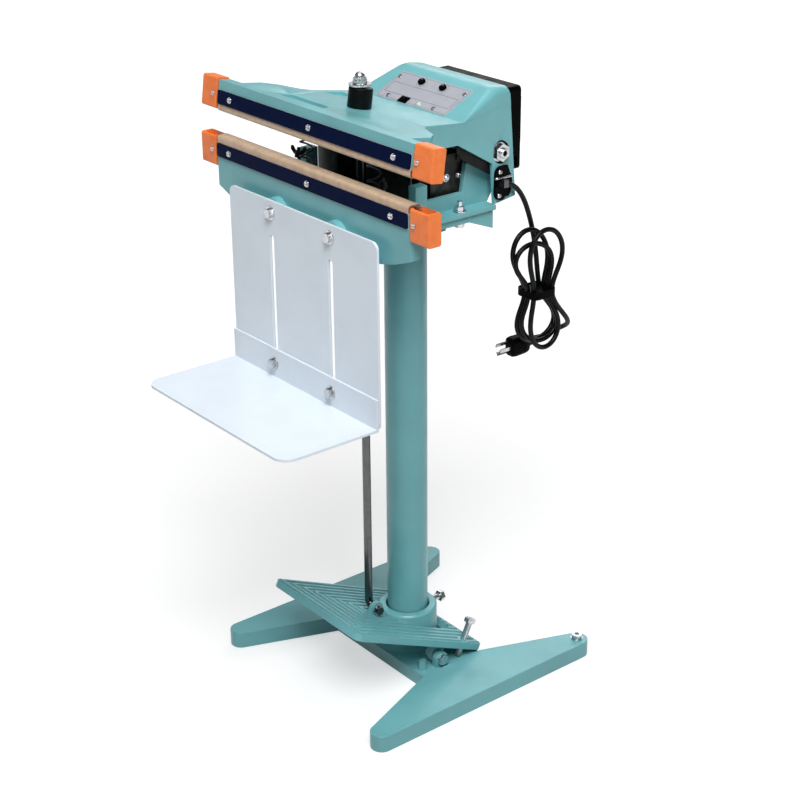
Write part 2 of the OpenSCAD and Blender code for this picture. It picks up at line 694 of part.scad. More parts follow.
// A cap: a box around the jaw's end, open at the sealing side when asked and at its inner side
module cap_shape(open_top) difference() {
    translate([cap_in, -1.2, pad_h + tape_t - cap_top_gap - cap_h])
        rotate([90, 0, 90]) linear_extrude(cap_out - cap_in) round_rect(cap_d, cap_h, 2.5);
    translate([cap_in + cap_wall, cap_wall - 1.2, pad_h + tape_t - cap_top_gap - cap_h + cap_wall])
        cube([cap_out - cap_in - 2 * cap_wall, cap_d - 2 * cap_wall, cap_h - (open_top ? 0 : 2 * cap_wall)]);
    // passage for the terminal bar and the ribbon
    translate([cap_in - 1, 3 - seat, pad_h + tape_t + terminal_z - seat])
        cube([cap_wall + 2, 9 + 2 * seat, cap_h]);
    translate([cap_screw_x, 5, pad_h + tape_t + cap_screw_z]) to_front() cylinder(r = 1.6, h = 10);
}

module lower_jaw_frame() translate([0, jaw_y, beam_top]) children();
// The upper jaw is the lower one turned over, closed down to the jaw gap, on the arm
module upper_jaw_frame() arm_open() translate([0, jaw_y, 2 * seal_z + jaw_gap - beam_top])
    mirror([0, 0, 1]) children();
upper_beam_low = seal_z + jaw_gap + tape_t + pad_h;

module lower_clamp_strip() color(navy) lower_jaw_frame() clamp_strip_shape();
module lower_jaw_screws() color(steel) lower_jaw_frame() jaw_screw_shapes();
module lower_backing_pad() color("#8A4B2A") lower_jaw_frame() backing_pad_shape();
module lower_heating_ribbon() color(steel) lower_jaw_frame() ribbon_shape();
module lower_ptfe_tape() color(tan_tape) lower_jaw_frame() tape_shape();
module lower_cap_right() color(orange) lower_jaw_frame() cap_shape(true);
module lower_cap_left() color(orange) lower_jaw_frame() mirror([1, 0, 0]) cap_shape(true);
module lower_terminals() color(brass) lower_jaw_frame() terminal_shapes();
module upper_clamp_strip() color(navy) upper_jaw_frame() clamp_strip_shape();
module upper_jaw_screws() color(steel) upper_jaw_frame() jaw_screw_shapes();
module upper_backing_pad() color("#8A4B2A") upper_jaw_frame() backing_pad_shape();
module upper_heating_ribbon() color(steel) upper_jaw_frame() ribbon_shape();
module upper_ptfe_tape() color(tan_tape) upper_jaw_frame() tape_shape();
module upper_cap_right() color(orange) upper_jaw_frame() cap_shape(false);
module upper_cap_left() color(orange) upper_jaw_frame() mirror([1, 0, 0]) cap_shape(false);
module upper_terminals() color(brass) upper_jaw_frame() terminal_shapes();

// ---------- inside the head ----------

floor_z = ledge_low + ledge_t;
core_w = 72;
core_d = 46;
core_h = 60;
core_x = 32;             // the transformer sits to the right of the middle
core_y = 4;
coil_out = 9;
core_bolt_in = 6;
shield_left = -72;
shield_y = -47;
shield_t = 2;

// Transformer behind a sheet that stands on the floor
module transformer() color(black) translate([0, 0, floor_z]) {
    translate([shield_left, shield_y, 0]) cube([core_x + core_w / 2 - shield_left, shield_t, core_h]);
    translate([core_x - core_w / 2, shield_y + shield_t - 0.01, 0])
        cube([core_w, core_y + core_d / 2 - shield_y - shield_t, 3]);
    translate([core_x, core_y, 0]) {
        // stack of laminations with two windows
        difference() {
            translate([-core_w / 2, -core_d / 2, 3 - 0.01]) cube([core_w, core_d, core_h - 3]);
            for (s = [-1, 1]) translate([s * core_w / 4 - 9, -core_d / 2 - 1, 12])
                cube([18, core_d + 2, core_h - 24]);
        }
        // winding that passes through the two windows
        difference() {
            translate([-core_w / 2 + 9, -core_d / 2 - coil_out, 12])
                cube([core_w - 18, core_d + 2 * coil_out, core_h - 24]);
            translate([-core_w / 2 + 18, -core_d / 2, 11])
                cube([core_w - 36, core_d, core_h - 22]);
        }
        for (y = [-1, 1] * (core_d / 2 - core_bolt_in), z = [core_bolt_in + 3, core_h - core_bolt_in])
            translate([core_w / 2, y, z]) to_right() hex_prism(8, 3);
    }
}

module pivot_axle() color(steel) translate([-axle_l, pivot_y, pivot_z]) to_right()
    cylinder(r = axle_r, h = 2 * axle_l);

recess_x = 85.5;
recess_r = 13;
axle_l = recess_x + 10.5;
pivot_nut_t = 6.5;
module pivot_nuts() color(steel) both_sides() translate([recess_x + seat, pivot_y, pivot_z]) to_right() {
    ring(11, axle_r, 1.8);
    translate([0, 0, 1.8]) difference() {
        hex_prism(18, pivot_nut_t);
        translate([0, 0, -1]) cylinder(r = axle_r, h = pivot_nut_t + 2);
    }
}

spring_x = 62;
spring_y = -92;
spring_turns = 6;
spring_r = 7;
spring_wire = 1.1;
spring_top = pivot_z + (plate_rise - plate_t) / cos(open_deg) - seat
    + (pivot_y - spring_y - spring_r - spring_wire) * tan(open_deg);

function helix(turns, r, h, n) =
    [for (i = [0:n * turns]) [r * cos(360 * i / n), r * sin(360 * i / n), h * i / (n * turns)]];

// Sweeps a round section with the given number of sides along a path
function unit(v) = v / norm(v);
function way(p, i) = unit(p[min(i + 1, len(p) - 1)] - p[max(i - 1, 0)]);
function side_of(p, i, up) = unit(cross(way(p, i), up));
function ring_at(p, i, r, sides, up) = let (s = side_of(p, i, up), n = cross(s, way(p, i)))
    [for (k = [0:sides - 1]) p[i] + r * (cos(360 * k / sides) * s + sin(360 * k / sides) * n)];
module sweep(p, r, sides, up) {
    points = [for (i = [0:len(p) - 1]) each ring_at(p, i, r, sides, up)];
    last = (len(p) - 1) * sides;
    faces = concat(
        [[for (k = [sides - 1:-1:0]) k]],
        [for (i = [0:len(p) - 2], k = [0:sides - 1]) [i * sides + k, i * sides + (k + 1) % sides,
            (i + 1) * sides + (k + 1) % sides, (i + 1) * sides + k]],
        [[for (k = [0:sides - 1]) last + k]]);
    polyhedron(points = points, faces = faces, convexity = 4);
}

spring_h = spring_top - floor_z - 2 * spring_wire - seat;
module return_springs() color(steel) for (s = [-1, 1])
    translate([s * spring_x, spring_y, floor_z + spring_wire + seat])
        sweep(helix(spring_turns, spring_r, spring_h, 14), spring_wire, 6, [0, 0, 1]);

switch_x = -44;
switch_y = -52;
switch_w = 28;
switch_h = 16;
plunger_out = 3;
// The plunger ends just below the closed arm's plate
switch_post = plate_z - plate_t - 0.5 - floor_z - switch_h - plunger_out;
plunger_r = 2;
module microswitch() color(black) translate([switch_x, switch_y, floor_z]) difference() {
    union() {
        translate([-switch_w / 2, 0, 0]) cube([switch_w, 3, switch_post + switch_h]);
        translate([-switch_w / 2, -12, 0]) cube([switch_w, 13, 3]);
        translate([-switch_w / 2, -10, switch_post]) cube([switch_w, 11, switch_h]);
    }
    translate([6, -5, switch_post + 6]) cylinder(r = plunger_r + run_fit, h = switch_h);
}
module microswitch_plunger() color("#B03020") translate([switch_x + 6, switch_y - 5, floor_z + switch_post + 9])
    cylinder(r = plunger_r, h = switch_h - 9 + plunger_out);

// ---------- tray ----------

tray_top_z = tray_bolt_z + 14.3;
tray_front_y = tray_back_y - tray_t;
slot_low_z = tray_low_z + 11;
slot_l = tray_bolt_z - slot_drop - slot_low_z;
shelf_bolt_z = slot_low_z + 9;

module tray_plate() color(clear_sheet) translate([0, tray_back_y, 0]) to_front() difference() {
    linear_extrude(tray_t) difference() {
        translate([-tray_half_w, tray_low_z]) round_rect(2 * tray_half_w, tray_top_z - tray_low_z, 9);
        for (s = [-1, 1]) translate([s * tray_bolt_x - slot_r, slot_low_z]) {
            translate([0, slot_r]) square([2 * slot_r, slot_l - 2 * slot_r]);
            for (z = [slot_r, slot_l - slot_r]) translate([slot_r, z]) circle(r = slot_r);
        }
    }
    both_sides() translate([tray_bolt_x, tray_bolt_z, -1]) cylinder(r = tray_bolt_r, h = tray_t + 2);
}

module tray_bolts() color(steel) both_sides() translate([tray_bolt_x, tray_front_y, tray_bolt_z]) to_front() {
    ring(8, tray_bolt_r, 1.4);
    translate([0, 0, 1.4]) hex_bolt(tray_bolt_r, 10, 4.5, tray_t + 9 + jaw_d + 1.4);
}

module tray_shelf() color(clear_sheet) {
    translate([-tray_half_w, tray_front_y - seat - tray_t, tray_low_z]) difference() {
        cube([2 * tray_half_w, tray_t, flange_h]);
        for (s = [-1, 1])
            translate([tray_half_w + s * tray_bolt_x, tray_t + 1, shelf_bolt_z - tray_low_z]) to_front()
                cylinder(r = tray_bolt_r, h = tray_t + 2);
    }
    translate([-tray_half_w, tray_front_y - seat - shelf_reach, tray_low_z])
        linear_extrude(tray_t) difference() {
            round_rect(2 * tray_half_w, shelf_reach + 40, 18);
            translate([-1, shelf_reach - tray_t / 2]) square([2 * tray_half_w + 2, 50]);
        }
}

module shelf_bolts() color(steel) both_sides()
    translate([tray_bolt_x, tray_front_y - seat - tray_t, shelf_bolt_z]) to_front() {
        ring(8, tray_bolt_r, 1.4);
        translate([0, 0, 1.4]) hex_bolt(tray_bolt_r, 10, 4.5, 2 * tray_t + 8.4);
        translate([0, 0, -2 * tray_t - 2 * seat - 5]) hex_prism(10, 5);
    }

// ---------- arm ----------

plate_corner_x = jaw_half_l - 24;
wing_rear_y = hood_front_y - 29;
rib_x = 92;
rod_slot_x = rod_r + 1.4;
// Centre of the rod's opening in the closed arm: where the upright rod crosses the open plate
rod_hole_y = pivot_y - ((pivot_y - rod_y) / cos(open_deg)) - (plate_rise - plate_t / 2) * tan(open_deg);
rod_slot_half = rod_r + 4.2;

function hood_side() = [[hood_front_y, plate_z], [hood_front_y, plate_z - 27.5], [-7, plate_z - 24],
    [51.5, seal_z - 12], [58, strip_low_z - 7], [hood_rear(strip_low_z), strip_low_z],
    [hood_rear(roof_z), roof_z], [roof_y, roof_z], [panel_y, plate_z]];
hood_open_z = seal_z - 90;           // well below the hood's open underside
function hood_inside() = [[hood_front_y - 1, plate_z - plate_t], [hood_front_y - 1, hood_open_z],
    [hood_rear(hood_open_z) - hood_wall, hood_open_z], [hood_rear(roof_z) - hood_wall, roof_z - hood_wall],
    [roof_y + 1.5, roof_z - hood_wall], [panel_y + 1.5, plate_z - plate_t]];

module arm_casting() color(teal) arm_open() difference() {
    union() {
        // jaw beam
        translate([-jaw_half_l, jaw_y, upper_beam_low]) cube([2 * jaw_half_l, jaw_d, plate_z - upper_beam_low]);
        // plate that narrows to the hood
        translate([0, 0, plate_z - plate_t]) linear_extrude(plate_t) polygon([
            [-plate_corner_x, jaw_y + 5], [plate_corner_x, jaw_y + 5], [plate_corner_x, wing_rear_y],
            [plate_corner_x - 13, wing_rear_y + 14], [hood_half_w + 9, hood_front_y - 3],
            [hood_half_w, hood_front_y + 6], [flank(panel_y + 4, plate_z), panel_y + 4],
            [-flank(panel_y + 4, plate_z), panel_y + 4], [-hood_half_w, hood_front_y + 6],
            [-hood_half_w - 9, hood_front_y - 3], [13 - plate_corner_x, wing_rear_y + 14],
            [-plate_corner_x, wing_rear_y]]);
        // ribs below the plate
        both_sides() across_at(rib_x, plate_t, [[jaw_y + jaw_d - 1, upper_beam_low + tape_back + 3],
            [jaw_y + jaw_d - 1, plate_z - 1], [hood_front_y + 4, plate_z - 1],
            [hood_front_y + 4, upper_beam_low + tape_back + 3]]);
        // hood shell
        difference() {
            across(120, hood_side());
            flank_cuts(0);
            edge_cuts(0);
            difference() {
                across(118, hood_inside());
                flank_cuts(hood_wall);
                edge_cuts(hood_wall);
            }
        }
        // bosses around the axle
        both_sides() translate([wall_out + seat, pivot_y, pivot_z]) to_right()
            cylinder(r = recess_r + 4, h = recess_x - wall_out - seat);
    }
    // recess and bore of each pivot boss
    both_sides() translate([recess_x, pivot_y, pivot_z]) to_right() cylinder(r = recess_r, h = 30);
    both_sides() translate([wall_out - 3, pivot_y, pivot_z]) to_right() cylinder(r = axle_r + run_fit, h = 60);
    // pockets in the plate
    translate([-95, -119, plate_z - 3.5]) linear_extrude(5) polygon([[0, 0], [12, 14], [12, 2]]);
    translate([-80, -119, plate_z - 3.5]) linear_extrude(5) polygon([[0, 0], [0, 15], [70, 15], [76, 2]]);
    translate([-92, -50, plate_z - 3.5]) linear_extrude(5) polygon([[0, 0], [4, 22], [28, 22], [28, 0]]);
    translate([0, jaw_y, upper_beam_low]) mirror([0, 0, 1]) jaw_screw_holes();
    // opening for the pull rod
    translate([-rod_slot_x, rod_hole_y - rod_slot_half, plate_z - plate_t - 1])
        linear_extrude(plate_t + 2) round_rect(2 * rod_slot_x, 2 * rod_slot_half, rod_slot_x - 0.1);
    // openings in the panel
    on_panel() {
        for (x = dial_x) translate([x, dial_v, -20]) cylinder(r = 3 + run_fit, h = 40);
        translate([rocker_x - 5, row_v - 3.2, -20]) cube([10, 6.4, 40]);
        translate([lamp_x, row_v, -20]) cylinder(r = 2.6, h = 40);
        for (p = panel_screw_at) translate([p[0], p[1], -20]) cylinder(r = 1.4, h = 40);
    }
    // opening in the rear wall behind the cover
    translate([-46, rear_y - 30, plate_z - 30]) cube([92, 80, 44]);
}

sleeve_y = pivot_y - (pivot_y - rod_y) / cos(open_deg) - (plate_rise + sleeve_h / 2) * tan(open_deg);
module pressure_sleeve() color(black) arm_open() translate([0, sleeve_y, plate_z + seat])
    ring(sleeve_r, rod_r + 1.8, sleeve_h - 1);

// ---------- panel ----------

label_low = 1;
label_t = 0.8;
dial_x = [-17, 20];
dial_v = label_low + label_d - 9.5;
row_v = label_low + 5;
rocker_x = -14;
lamp_x = 12;
panel_screw_at = [[-56.5, dial_v], [57, dial_v], [-42, row_v], [38, row_v]];

module panel_plate() color("#B9BDC4") arm_open() on_panel() difference() {
    translate([-label_w / 2, label_low, 0]) linear_extrude(label_t) round_rect(label_w, label_d, 1.5);
    for (x = dial_x) translate([x, dial_v, -1]) cylinder(r = 3 + run_fit, h = 3);
    translate([rocker_x - 5, row_v - 3.2, -1]) cube([10, 6.4, 3]);
    translate([lamp_x, row_v, -1]) cylinder(r = 2.6, h = 3);
    for (p = panel_screw_at) translate([p[0], p[1], -1]) cylinder(r = 1.4, h = 3);
}

module panel_screws() color(steel) arm_open() on_panel()
    for (p = panel_screw_at) translate([p[0], p[1], label_t]) pan_screw(1.4, 2.6, 1.8, 6);

board_gap = 9;
module timer_board() color("#2E5A3A") arm_open() on_panel() {
    translate([-52, dial_v - 12, -hood_wall - board_gap - 1.6]) cube([104, 18, 1.6]);
    for (x = dial_x) translate([x, dial_v, -hood_wall - board_gap]) cylinder(r = 8, h = board_gap - 1);
    for (x = [-46, 46]) translate([x, dial_v, -hood_wall - board_gap]) cylinder(r = 3, h = board_gap - 0.6);
}

dial_h = 3.4;
// A dial: knob above the panel, shaft down into its potentiometer
module dial(x) color(black) arm_open() on_panel() translate([x, dial_v, label_t + seat]) difference() {
    union() {
        cylinder(r = dial_r, h = dial_h);
        translate([0, 0, -hood_wall - label_t - seat - 0.5])
            cylinder(r = 3, h = hood_wall + label_t + seat + 1);
    }
    translate([-dial_r, -0.6, dial_h - 1]) cube([2 * dial_r, 1.2, 2]);
}
module dial_heating() dial(dial_x[0]);
module dial_cooling() dial(dial_x[1]);

module rocker_bezel() color(black) arm_open() on_panel() translate([rocker_x, row_v, label_t]) difference() {
    union() {
        translate([-7, -4.6, 0]) cube([14, 9.2, 1.2]);
        translate([-4.9, -3.1, -14]) cube([9.8, 6.2, 14.5]);
    }
    translate([-4, -2.4, -2.6]) cube([8, 4.8, 6]);
}
module rocker_switch() color(black) arm_open() on_panel() translate([rocker_x, row_v, label_t + 0.4])
    rotate([90, 0, 0]) translate([0, 0, -2.1]) linear_extrude(4.2)
        polygon([[-3.6, 1.2], [0, 0.9], [3.6, 2.4], [3.3, -0.6], [0, -2], [-3.3, -0.6]]);

module indicator_lamp() color("#E8E8E8") arm_open() on_panel() translate([lamp_x, row_v, label_t]) {
    rotate_extrude() polygon([[0, 0], [4, 0], [4, 0.8], [3, 1.6], [2, 2.4], [0, 2.8]]);
    translate([0, 0, -10]) cylinder(r = 2.6, h = 11);
}

// ---------- rear cover, clamp and cord ----------

rear_open_y = open_y(rear_y, roof_z);
cover_top = open_z(rear_y, roof_z) - 1;
cover_h = 97;
cover_low = cover_top - cover_h;
cover_slot_z = cover_low + 10;

module rear_cover() color(black) difference() {
    union() {
        translate([-cover_half_w, rear_open_y, cover_low]) rotate([90, 0, 0]) translate([0, 0, -cover_d])
            linear_extrude(cover_d) round_rect(2 * cover_half_w, cover_top - cover_low, 5);
        translate([-cover_half_w + 4, rear_open_y + cover_d + 4, cover_low + 28]) rotate([90, 0, 0])
            linear_extrude(5) round_rect(2 * cover_half_w - 8, 58, 4);
    }
    translate([-cover_half_w + 3, rear_open_y - 1, cover_low + 3])
        cube([2 * cover_half_w - 6, cover_d - 2, cover_h - 6]);
    both_sides() translate([cover_half_w - 5, rear_open_y + cover_d - 9, cover_slot_z - 6]) cube([8, 4, 12]);
    at_cover_screws() translate([0, 0, -5]) cylinder(r = 1.6, h = 6);
}

module at_cover_screws() both_sides() for (z = [cover_low + 7, cover_top - 7])
    translate([cover_half_w - 9, rear_open_y + cover_d, z]) rotate([-90, 0, 0]) children();
module rear_cover_screws() color(steel) at_cover_screws() pan_screw(1.6, 3, 2, cover_d - 2);

// The clamp sits on the lower end of the hood's right rear corner, which is drawn closed
clamp_y = 64;
clamp_z = seal_z - 34;
clamp_x = flank(clamp_y, clamp_z) - 1.2;
module on_flank() arm_open() translate([clamp_x, clamp_y, clamp_z])
    rotate([0, -hood_draft, 0]) rotate([0, 0, hood_toe]) rotate([90, 0, 90]) children();
clamp_t = 3;

module cable_clamp() color(black) on_flank() translate([0, 0, 1.6]) {
    linear_extrude(clamp_t) round_rect_centred(20, 38, 9.5);
    for (y = [-13, 13]) translate([-3, y, clamp_t]) pan_screw(1.5, 2.6, 1.6, 1);
}
module round_rect_centred(w, h, r) translate([-w / 2, -h / 2]) round_rect(w, h, r);

// Steel saddle that holds the cord to the clamp plate
saddle_w = 8;
module clamp_saddle() color(steel) on_flank() translate([-4, 0, 1.6 + clamp_t]) difference() {
    translate([0, -cord_r - 1.4, 0]) cube([saddle_w, 2 * cord_r + 2.8, 2 * cord_r + 1.4]);
    translate([-1, 0, cord_r + 0.05]) to_right() cylinder(r = cord_r, h = saddle_w + 2);
    translate([-1, -cord_r, -1]) cube([saddle_w + 2, 2 * cord_r, cord_r + 1.05]);
}

lead_points = [[101.6, 52, 632.5], [100.4, 60.4, 631.2], [99.4, 68.2, 630], [98.5, 76, 628.5], [97.5, 83, 626],
    [97, 89, 622], [96.5, 94.5, 617], [96, 99, 611], [95.6, 103, 604], [95.5, 107, 597], [95.5, 112, 589],
    [95.5, 117.5, 581], [95.7, 124.5, 572.5], [95.9, 136, 561]];
tail_points = [[83, 122, 420], [83, 130, 420], [83, 138, 420], [83, 145, 420.5], [83.5, 151.5, 422.5],
    [86, 157, 426], [91, 160.5, 429.5], [98, 162, 433], [105, 161.8, 437], [111.5, 159.7, 441.5],
    [116.5, 155.7, 447.5], [119, 150, 454.5]];
hank_x = 92;
hank_y = 109;
hank_z = 494;
hank_l = 167;            // overall length of the hank
hank_lobe_w = 84;        // width over each of its two lobes
hank_lobe_z = 48;        // height of each lobe's widest place above or below the tie
hank_waist = 16;         // half width under the tie
tie_h = 9;

module cord_lead() color(black) {
    sweep(lead_points, cord_r, 10, [1, 0, 0]);
    sweep(tail_points, cord_r, 10, [1, 0, 0]);
}

// Half width of the hank at a height from its tie: a smooth waist, then the elliptic end of a lobe
function hank_half(z) = abs(z) > hank_lobe_z
    ? hank_lobe_w / 2 * sqrt(max(0, 1 - pow((abs(z) - hank_lobe_z) / (hank_l / 2 - hank_lobe_z), 2)))
    : hank_waist + (hank_lobe_w / 2 - hank_waist) * (1 - cos(180 * z / hank_lobe_z)) / 2;
function hank_outline(n) = [for (s = [1, -1], i = [0:n - 1])
    let (z = s * hank_l / 2 * cos(180 * i / n)) [s * hank_half(z), z]];

module cord_hank() color(black) translate([hank_x, hank_y, hank_z]) rotate([90, 0, 90])
    linear_extrude(hank_t) polygon(hank_outline(20));

module cord_tie() color(black) translate([hank_x, hank_y, hank_z]) difference() {
    translate([-2, -hank_waist - 5, -tie_h / 2]) cube([hank_t + 4, 2 * hank_waist + 10, tie_h]);
    translate([-0.01, 0, 0]) rotate([90, 0, 90]) linear_extrude(hank_t + 0.02) polygon(hank_outline(20));
}

plug_l = 28;
plug_w = 17.4;
plug_h = 24;
relief_l = 24;
pin_l = 17;
// Places the plug with its pins towards -Z of its own frame, which points to the machine's front
module plug_frame() translate([83, 118, 420]) rotate([-90, 0, 0]) children();
module plug() color(black) plug_frame() {
    difference() {
        rotate_extrude() polygon([[0, -1], [6.5, -1], [6, 2], [4.2, relief_l - 2], [3.6, relief_l],
            [0, relief_l]]);
        translate([0, 0, 2]) cylinder(r = cord_r, h = relief_l);
    }
    translate([-plug_w / 2, -plug_h / 2, -plug_l]) linear_extrude(plug_l) round_rect(plug_w, plug_h, 5);
}
module plug_pins() color(brass) plug_frame() translate([0, 0, -plug_l - pin_l]) {
    for (y = [-7.5, 3]) translate([-4, y, 0]) rotate([0, 0, y < 0 ? 25 : -25]) cube([1.6, 4.5, pin_l]);
    translate([2, -2.2, 0]) cube([1.6, 4.5, pin_l]);
}

base_plate();
foot_left();
foot_right();
foot_bolts();
levelling_screw();
socket_screw();
post_tube();
pedal_pivot_bolts();
post_bracket();
bracket_bolts();
head_frame();
lower_clamp_strip();
lower_jaw_screws();
lower_backing_pad();
lower_heating_ribbon();
lower_ptfe_tape();
lower_cap_left();
lower_cap_right();
lower_terminals();
transformer();
pivot_axle();
pivot_nuts();
return_springs();
microswitch();
microswitch_plunger();
tray_plate();
tray_bolts();
tray_shelf();
shelf_bolts();
arm_casting();
upper_clamp_strip();
upper_jaw_screws();
upper_backing_pad();
upper_heating_ribbon();
upper_ptfe_tape();
upper_cap_left();
upper_cap_right();
upper_terminals();
panel_plate();
panel_screws();
timer_board();
dial_heating();
dial_cooling();
rocker_bezel();
rocker_switch();
indicator_lamp();
rear_cover();
rear_cover_screws();
cable_clamp();
clamp_saddle();
pressure_sleeve();
cord_lead();
cord_hank();
cord_tie();
plug();
plug_pins();
pedal();
pedal_stop_screw();
pull_rod();
rod_nuts();
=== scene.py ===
"""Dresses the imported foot-pedal impulse sealer: camera, finishes, cord, castings, hood, panel and stage."""

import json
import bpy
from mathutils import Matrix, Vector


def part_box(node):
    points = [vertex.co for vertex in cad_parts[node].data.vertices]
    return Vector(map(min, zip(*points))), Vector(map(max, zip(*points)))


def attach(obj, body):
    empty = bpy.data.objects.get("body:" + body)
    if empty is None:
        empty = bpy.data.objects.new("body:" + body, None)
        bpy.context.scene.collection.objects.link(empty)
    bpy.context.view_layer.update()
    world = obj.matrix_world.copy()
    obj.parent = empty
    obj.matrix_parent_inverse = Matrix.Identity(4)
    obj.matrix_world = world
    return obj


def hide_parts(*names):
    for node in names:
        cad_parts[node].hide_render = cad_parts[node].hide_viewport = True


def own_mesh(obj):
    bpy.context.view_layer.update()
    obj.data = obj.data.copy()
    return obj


bl_info = {
    "name": "Pedal impulse sealer",
    "version": (1, 0, 0),
    "blender": (4, 5, 0),
    "location": "View3D > Sidebar > Sealer",
    "description": "Builds the visual pieces and finishes of a foot-pedal impulse sealer",
    "category": "Object",
}

from math import cos, pi, radians, sin, sqrt, tan

import bmesh
import bpy
from mathutils import Matrix, Vector

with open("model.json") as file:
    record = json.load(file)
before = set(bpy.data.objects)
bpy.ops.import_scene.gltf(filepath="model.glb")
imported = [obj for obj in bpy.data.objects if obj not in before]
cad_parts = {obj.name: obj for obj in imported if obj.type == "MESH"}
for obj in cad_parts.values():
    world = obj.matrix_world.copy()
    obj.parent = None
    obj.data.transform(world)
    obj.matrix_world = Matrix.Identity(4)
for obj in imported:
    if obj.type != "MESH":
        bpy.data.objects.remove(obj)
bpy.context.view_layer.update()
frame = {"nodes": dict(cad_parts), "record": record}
NODES = frame["nodes"]
BODY_OF = {
    node: body
    for body, nodes in frame["record"]["behaviour"]["bodies"].items()
    for node in nodes
}
JOINTS = {joint["name"]: joint for joint in frame["record"]["behaviour"]["joints"]}
SLOT_OF = {part["node"]: part["material_slot"] for part in frame["record"]["subparts"]}
MM = 0.001
# How far the arm stands open at rest, and its pivot's place in Y and Z in millimetres
OPEN, PIVOT = radians(8.0), (65.0, 664.0)

# The cord's route at its two ends: from the clamp to the hank, and from the plug to the hank
LEAD = [
    (0.1016, 0.052, 0.6325), (0.1004, 0.0604, 0.6312), (0.0994, 0.0682, 0.630), (0.0985, 0.0755, 0.6275),
    (0.0978, 0.082, 0.6235), (0.0972, 0.088, 0.6175), (0.0967, 0.093, 0.610), (0.0963, 0.0975, 0.602),
    (0.096, 0.1015, 0.593), (0.0958, 0.1055, 0.583), (0.0956, 0.109, 0.5725), (0.0955, 0.1125, 0.560),
    (0.0956, 0.1155, 0.546), (0.0958, 0.118, 0.530), (0.0964, 0.1195, 0.514),
]
TAIL = [
    (0.083, 0.122, 0.420), (0.083, 0.130, 0.420), (0.083, 0.138, 0.420), (0.083, 0.145, 0.4205),
    (0.0835, 0.1515, 0.4225), (0.086, 0.157, 0.426), (0.091, 0.1605, 0.4295), (0.098, 0.162, 0.433),
    (0.105, 0.1618, 0.437), (0.1115, 0.1597, 0.4415), (0.1165, 0.1557, 0.4475), (0.119, 0.150, 0.4545),
]


# ---------- sizes and colours ----------

def length_property(name, description, value):
    return bpy.props.FloatProperty(name=name, description=description, default=value, unit="LENGTH")


def colour_property(name, description, value):
    return bpy.props.FloatVectorProperty(name=name, description=description, subtype="COLOR", size=3,
                                         min=0.0, max=1.0, default=value)


class SealerSizes(bpy.types.PropertyGroup):
    cord_diameter: length_property("Cord diameter", "Outside diameter of the mains cord", 0.006)
    casting_edge: length_property("Casting edge", "Radius on the edges of the castings", 0.0014)
    moulding_edge: length_property("Moulding edge", "Radius on the edges of moulded pieces", 0.0012)
    spring_wire: length_property("Spring wire", "Radius of the return springs' wire", 0.0011)
    spring_turns: bpy.props.IntProperty(
        name="Spring turns", description="Turns of each return spring", default=6)


class SealerColours(bpy.types.PropertyGroup):
    enamel: colour_property("Enamel", "Blue-green stove enamel of the castings", (0.165, 0.445, 0.475))
    cap: colour_property("Cap", "Orange of the jaw caps", (0.98, 0.225, 0.045))
    strip: colour_property("Strip", "Dark blue of the clamp strips", (0.0012, 0.0058, 0.036))
    tape: colour_property("Tape", "Non-stick cloth over the jaws", (0.60, 0.43, 0.29))
    steel: colour_property("Steel", "Bright plated steel", (0.74, 0.75, 0.77))
    black: colour_property("Black", "Black plastic and paint", (0.0012, 0.0012, 0.0014))
    sheet: colour_property("Sheet", "Milky sheet of the tray", (0.84, 0.92, 1.0))
    plate: colour_property("Plate", "Silver panel plate", (0.50, 0.51, 0.57))
    brass: colour_property("Brass", "Terminals and plug pins", (0.66, 0.46, 0.16))


def sizes():
    return bpy.context.scene.sealer_sizes


def colours():
    return bpy.context.scene.sealer_colours


# ---------- shader groups ----------

def shader_group(name, inputs, outputs):
    """A new shader node group with float inputs and outputs, its input node and its output node."""
    tree = bpy.data.node_groups.new(name, "ShaderNodeTree")
    for label, default in inputs:
        socket = tree.interface.new_socket(label, in_out="INPUT", socket_type="NodeSocketFloat")
        socket.default_value = default
    for label in outputs:
        tree.interface.new_socket(label, in_out="OUTPUT", socket_type="NodeSocketFloat")
    return tree, tree.nodes.new("NodeGroupInput"), tree.nodes.new("NodeGroupOutput")


def add(tree, kind, **settings):
    """Adds a node and sets its properties."""
    node = tree.nodes.new(kind)
    for key, value in settings.items():
        setattr(node, key, value)
    return node


def fill(node, **values):
    """Gives a node's inputs their plain values; an underscore stands for a space."""
    for label, value in values.items():
        node.inputs[label.replace("_", " ")].default_value = value


def maths(tree, operation, a, b=None):
    """A Math node of two values, each a number or a socket; returns its output."""
    node = add(tree, "ShaderNodeMath", operation=operation)
    for place, value in enumerate((a, b)):
        if value is None:
            continue
        if isinstance(value, (int, float)):
            node.inputs[place].default_value = value
        else:
            tree.links.new(value, node.inputs[place])
    return node.outputs[0]


def stretch(tree, low, high, value, to_low=0.0, to_high=1.0):
    """A clamped Map Range of a socket; returns its output."""
    node = add(tree, "ShaderNodeMapRange")
    fill(node, From_Min=low, From_Max=high, To_Min=to_low, To_Max=to_high)
    tree.links.new(value, node.inputs["Value"])
    return node.outputs["Result"]


def object_place(tree, scale=(1, 1, 1), turn=(0, 0, 0)):
    """Object coordinates, turned and scaled."""
    place = add(tree, "ShaderNodeTexCoord")
    mapping = add(tree, "ShaderNodeMapping")
    fill(mapping, Scale=scale, Rotation=turn)
    tree.links.new(place.outputs["Object"], mapping.inputs["Vector"])
    return mapping.outputs["Vector"]


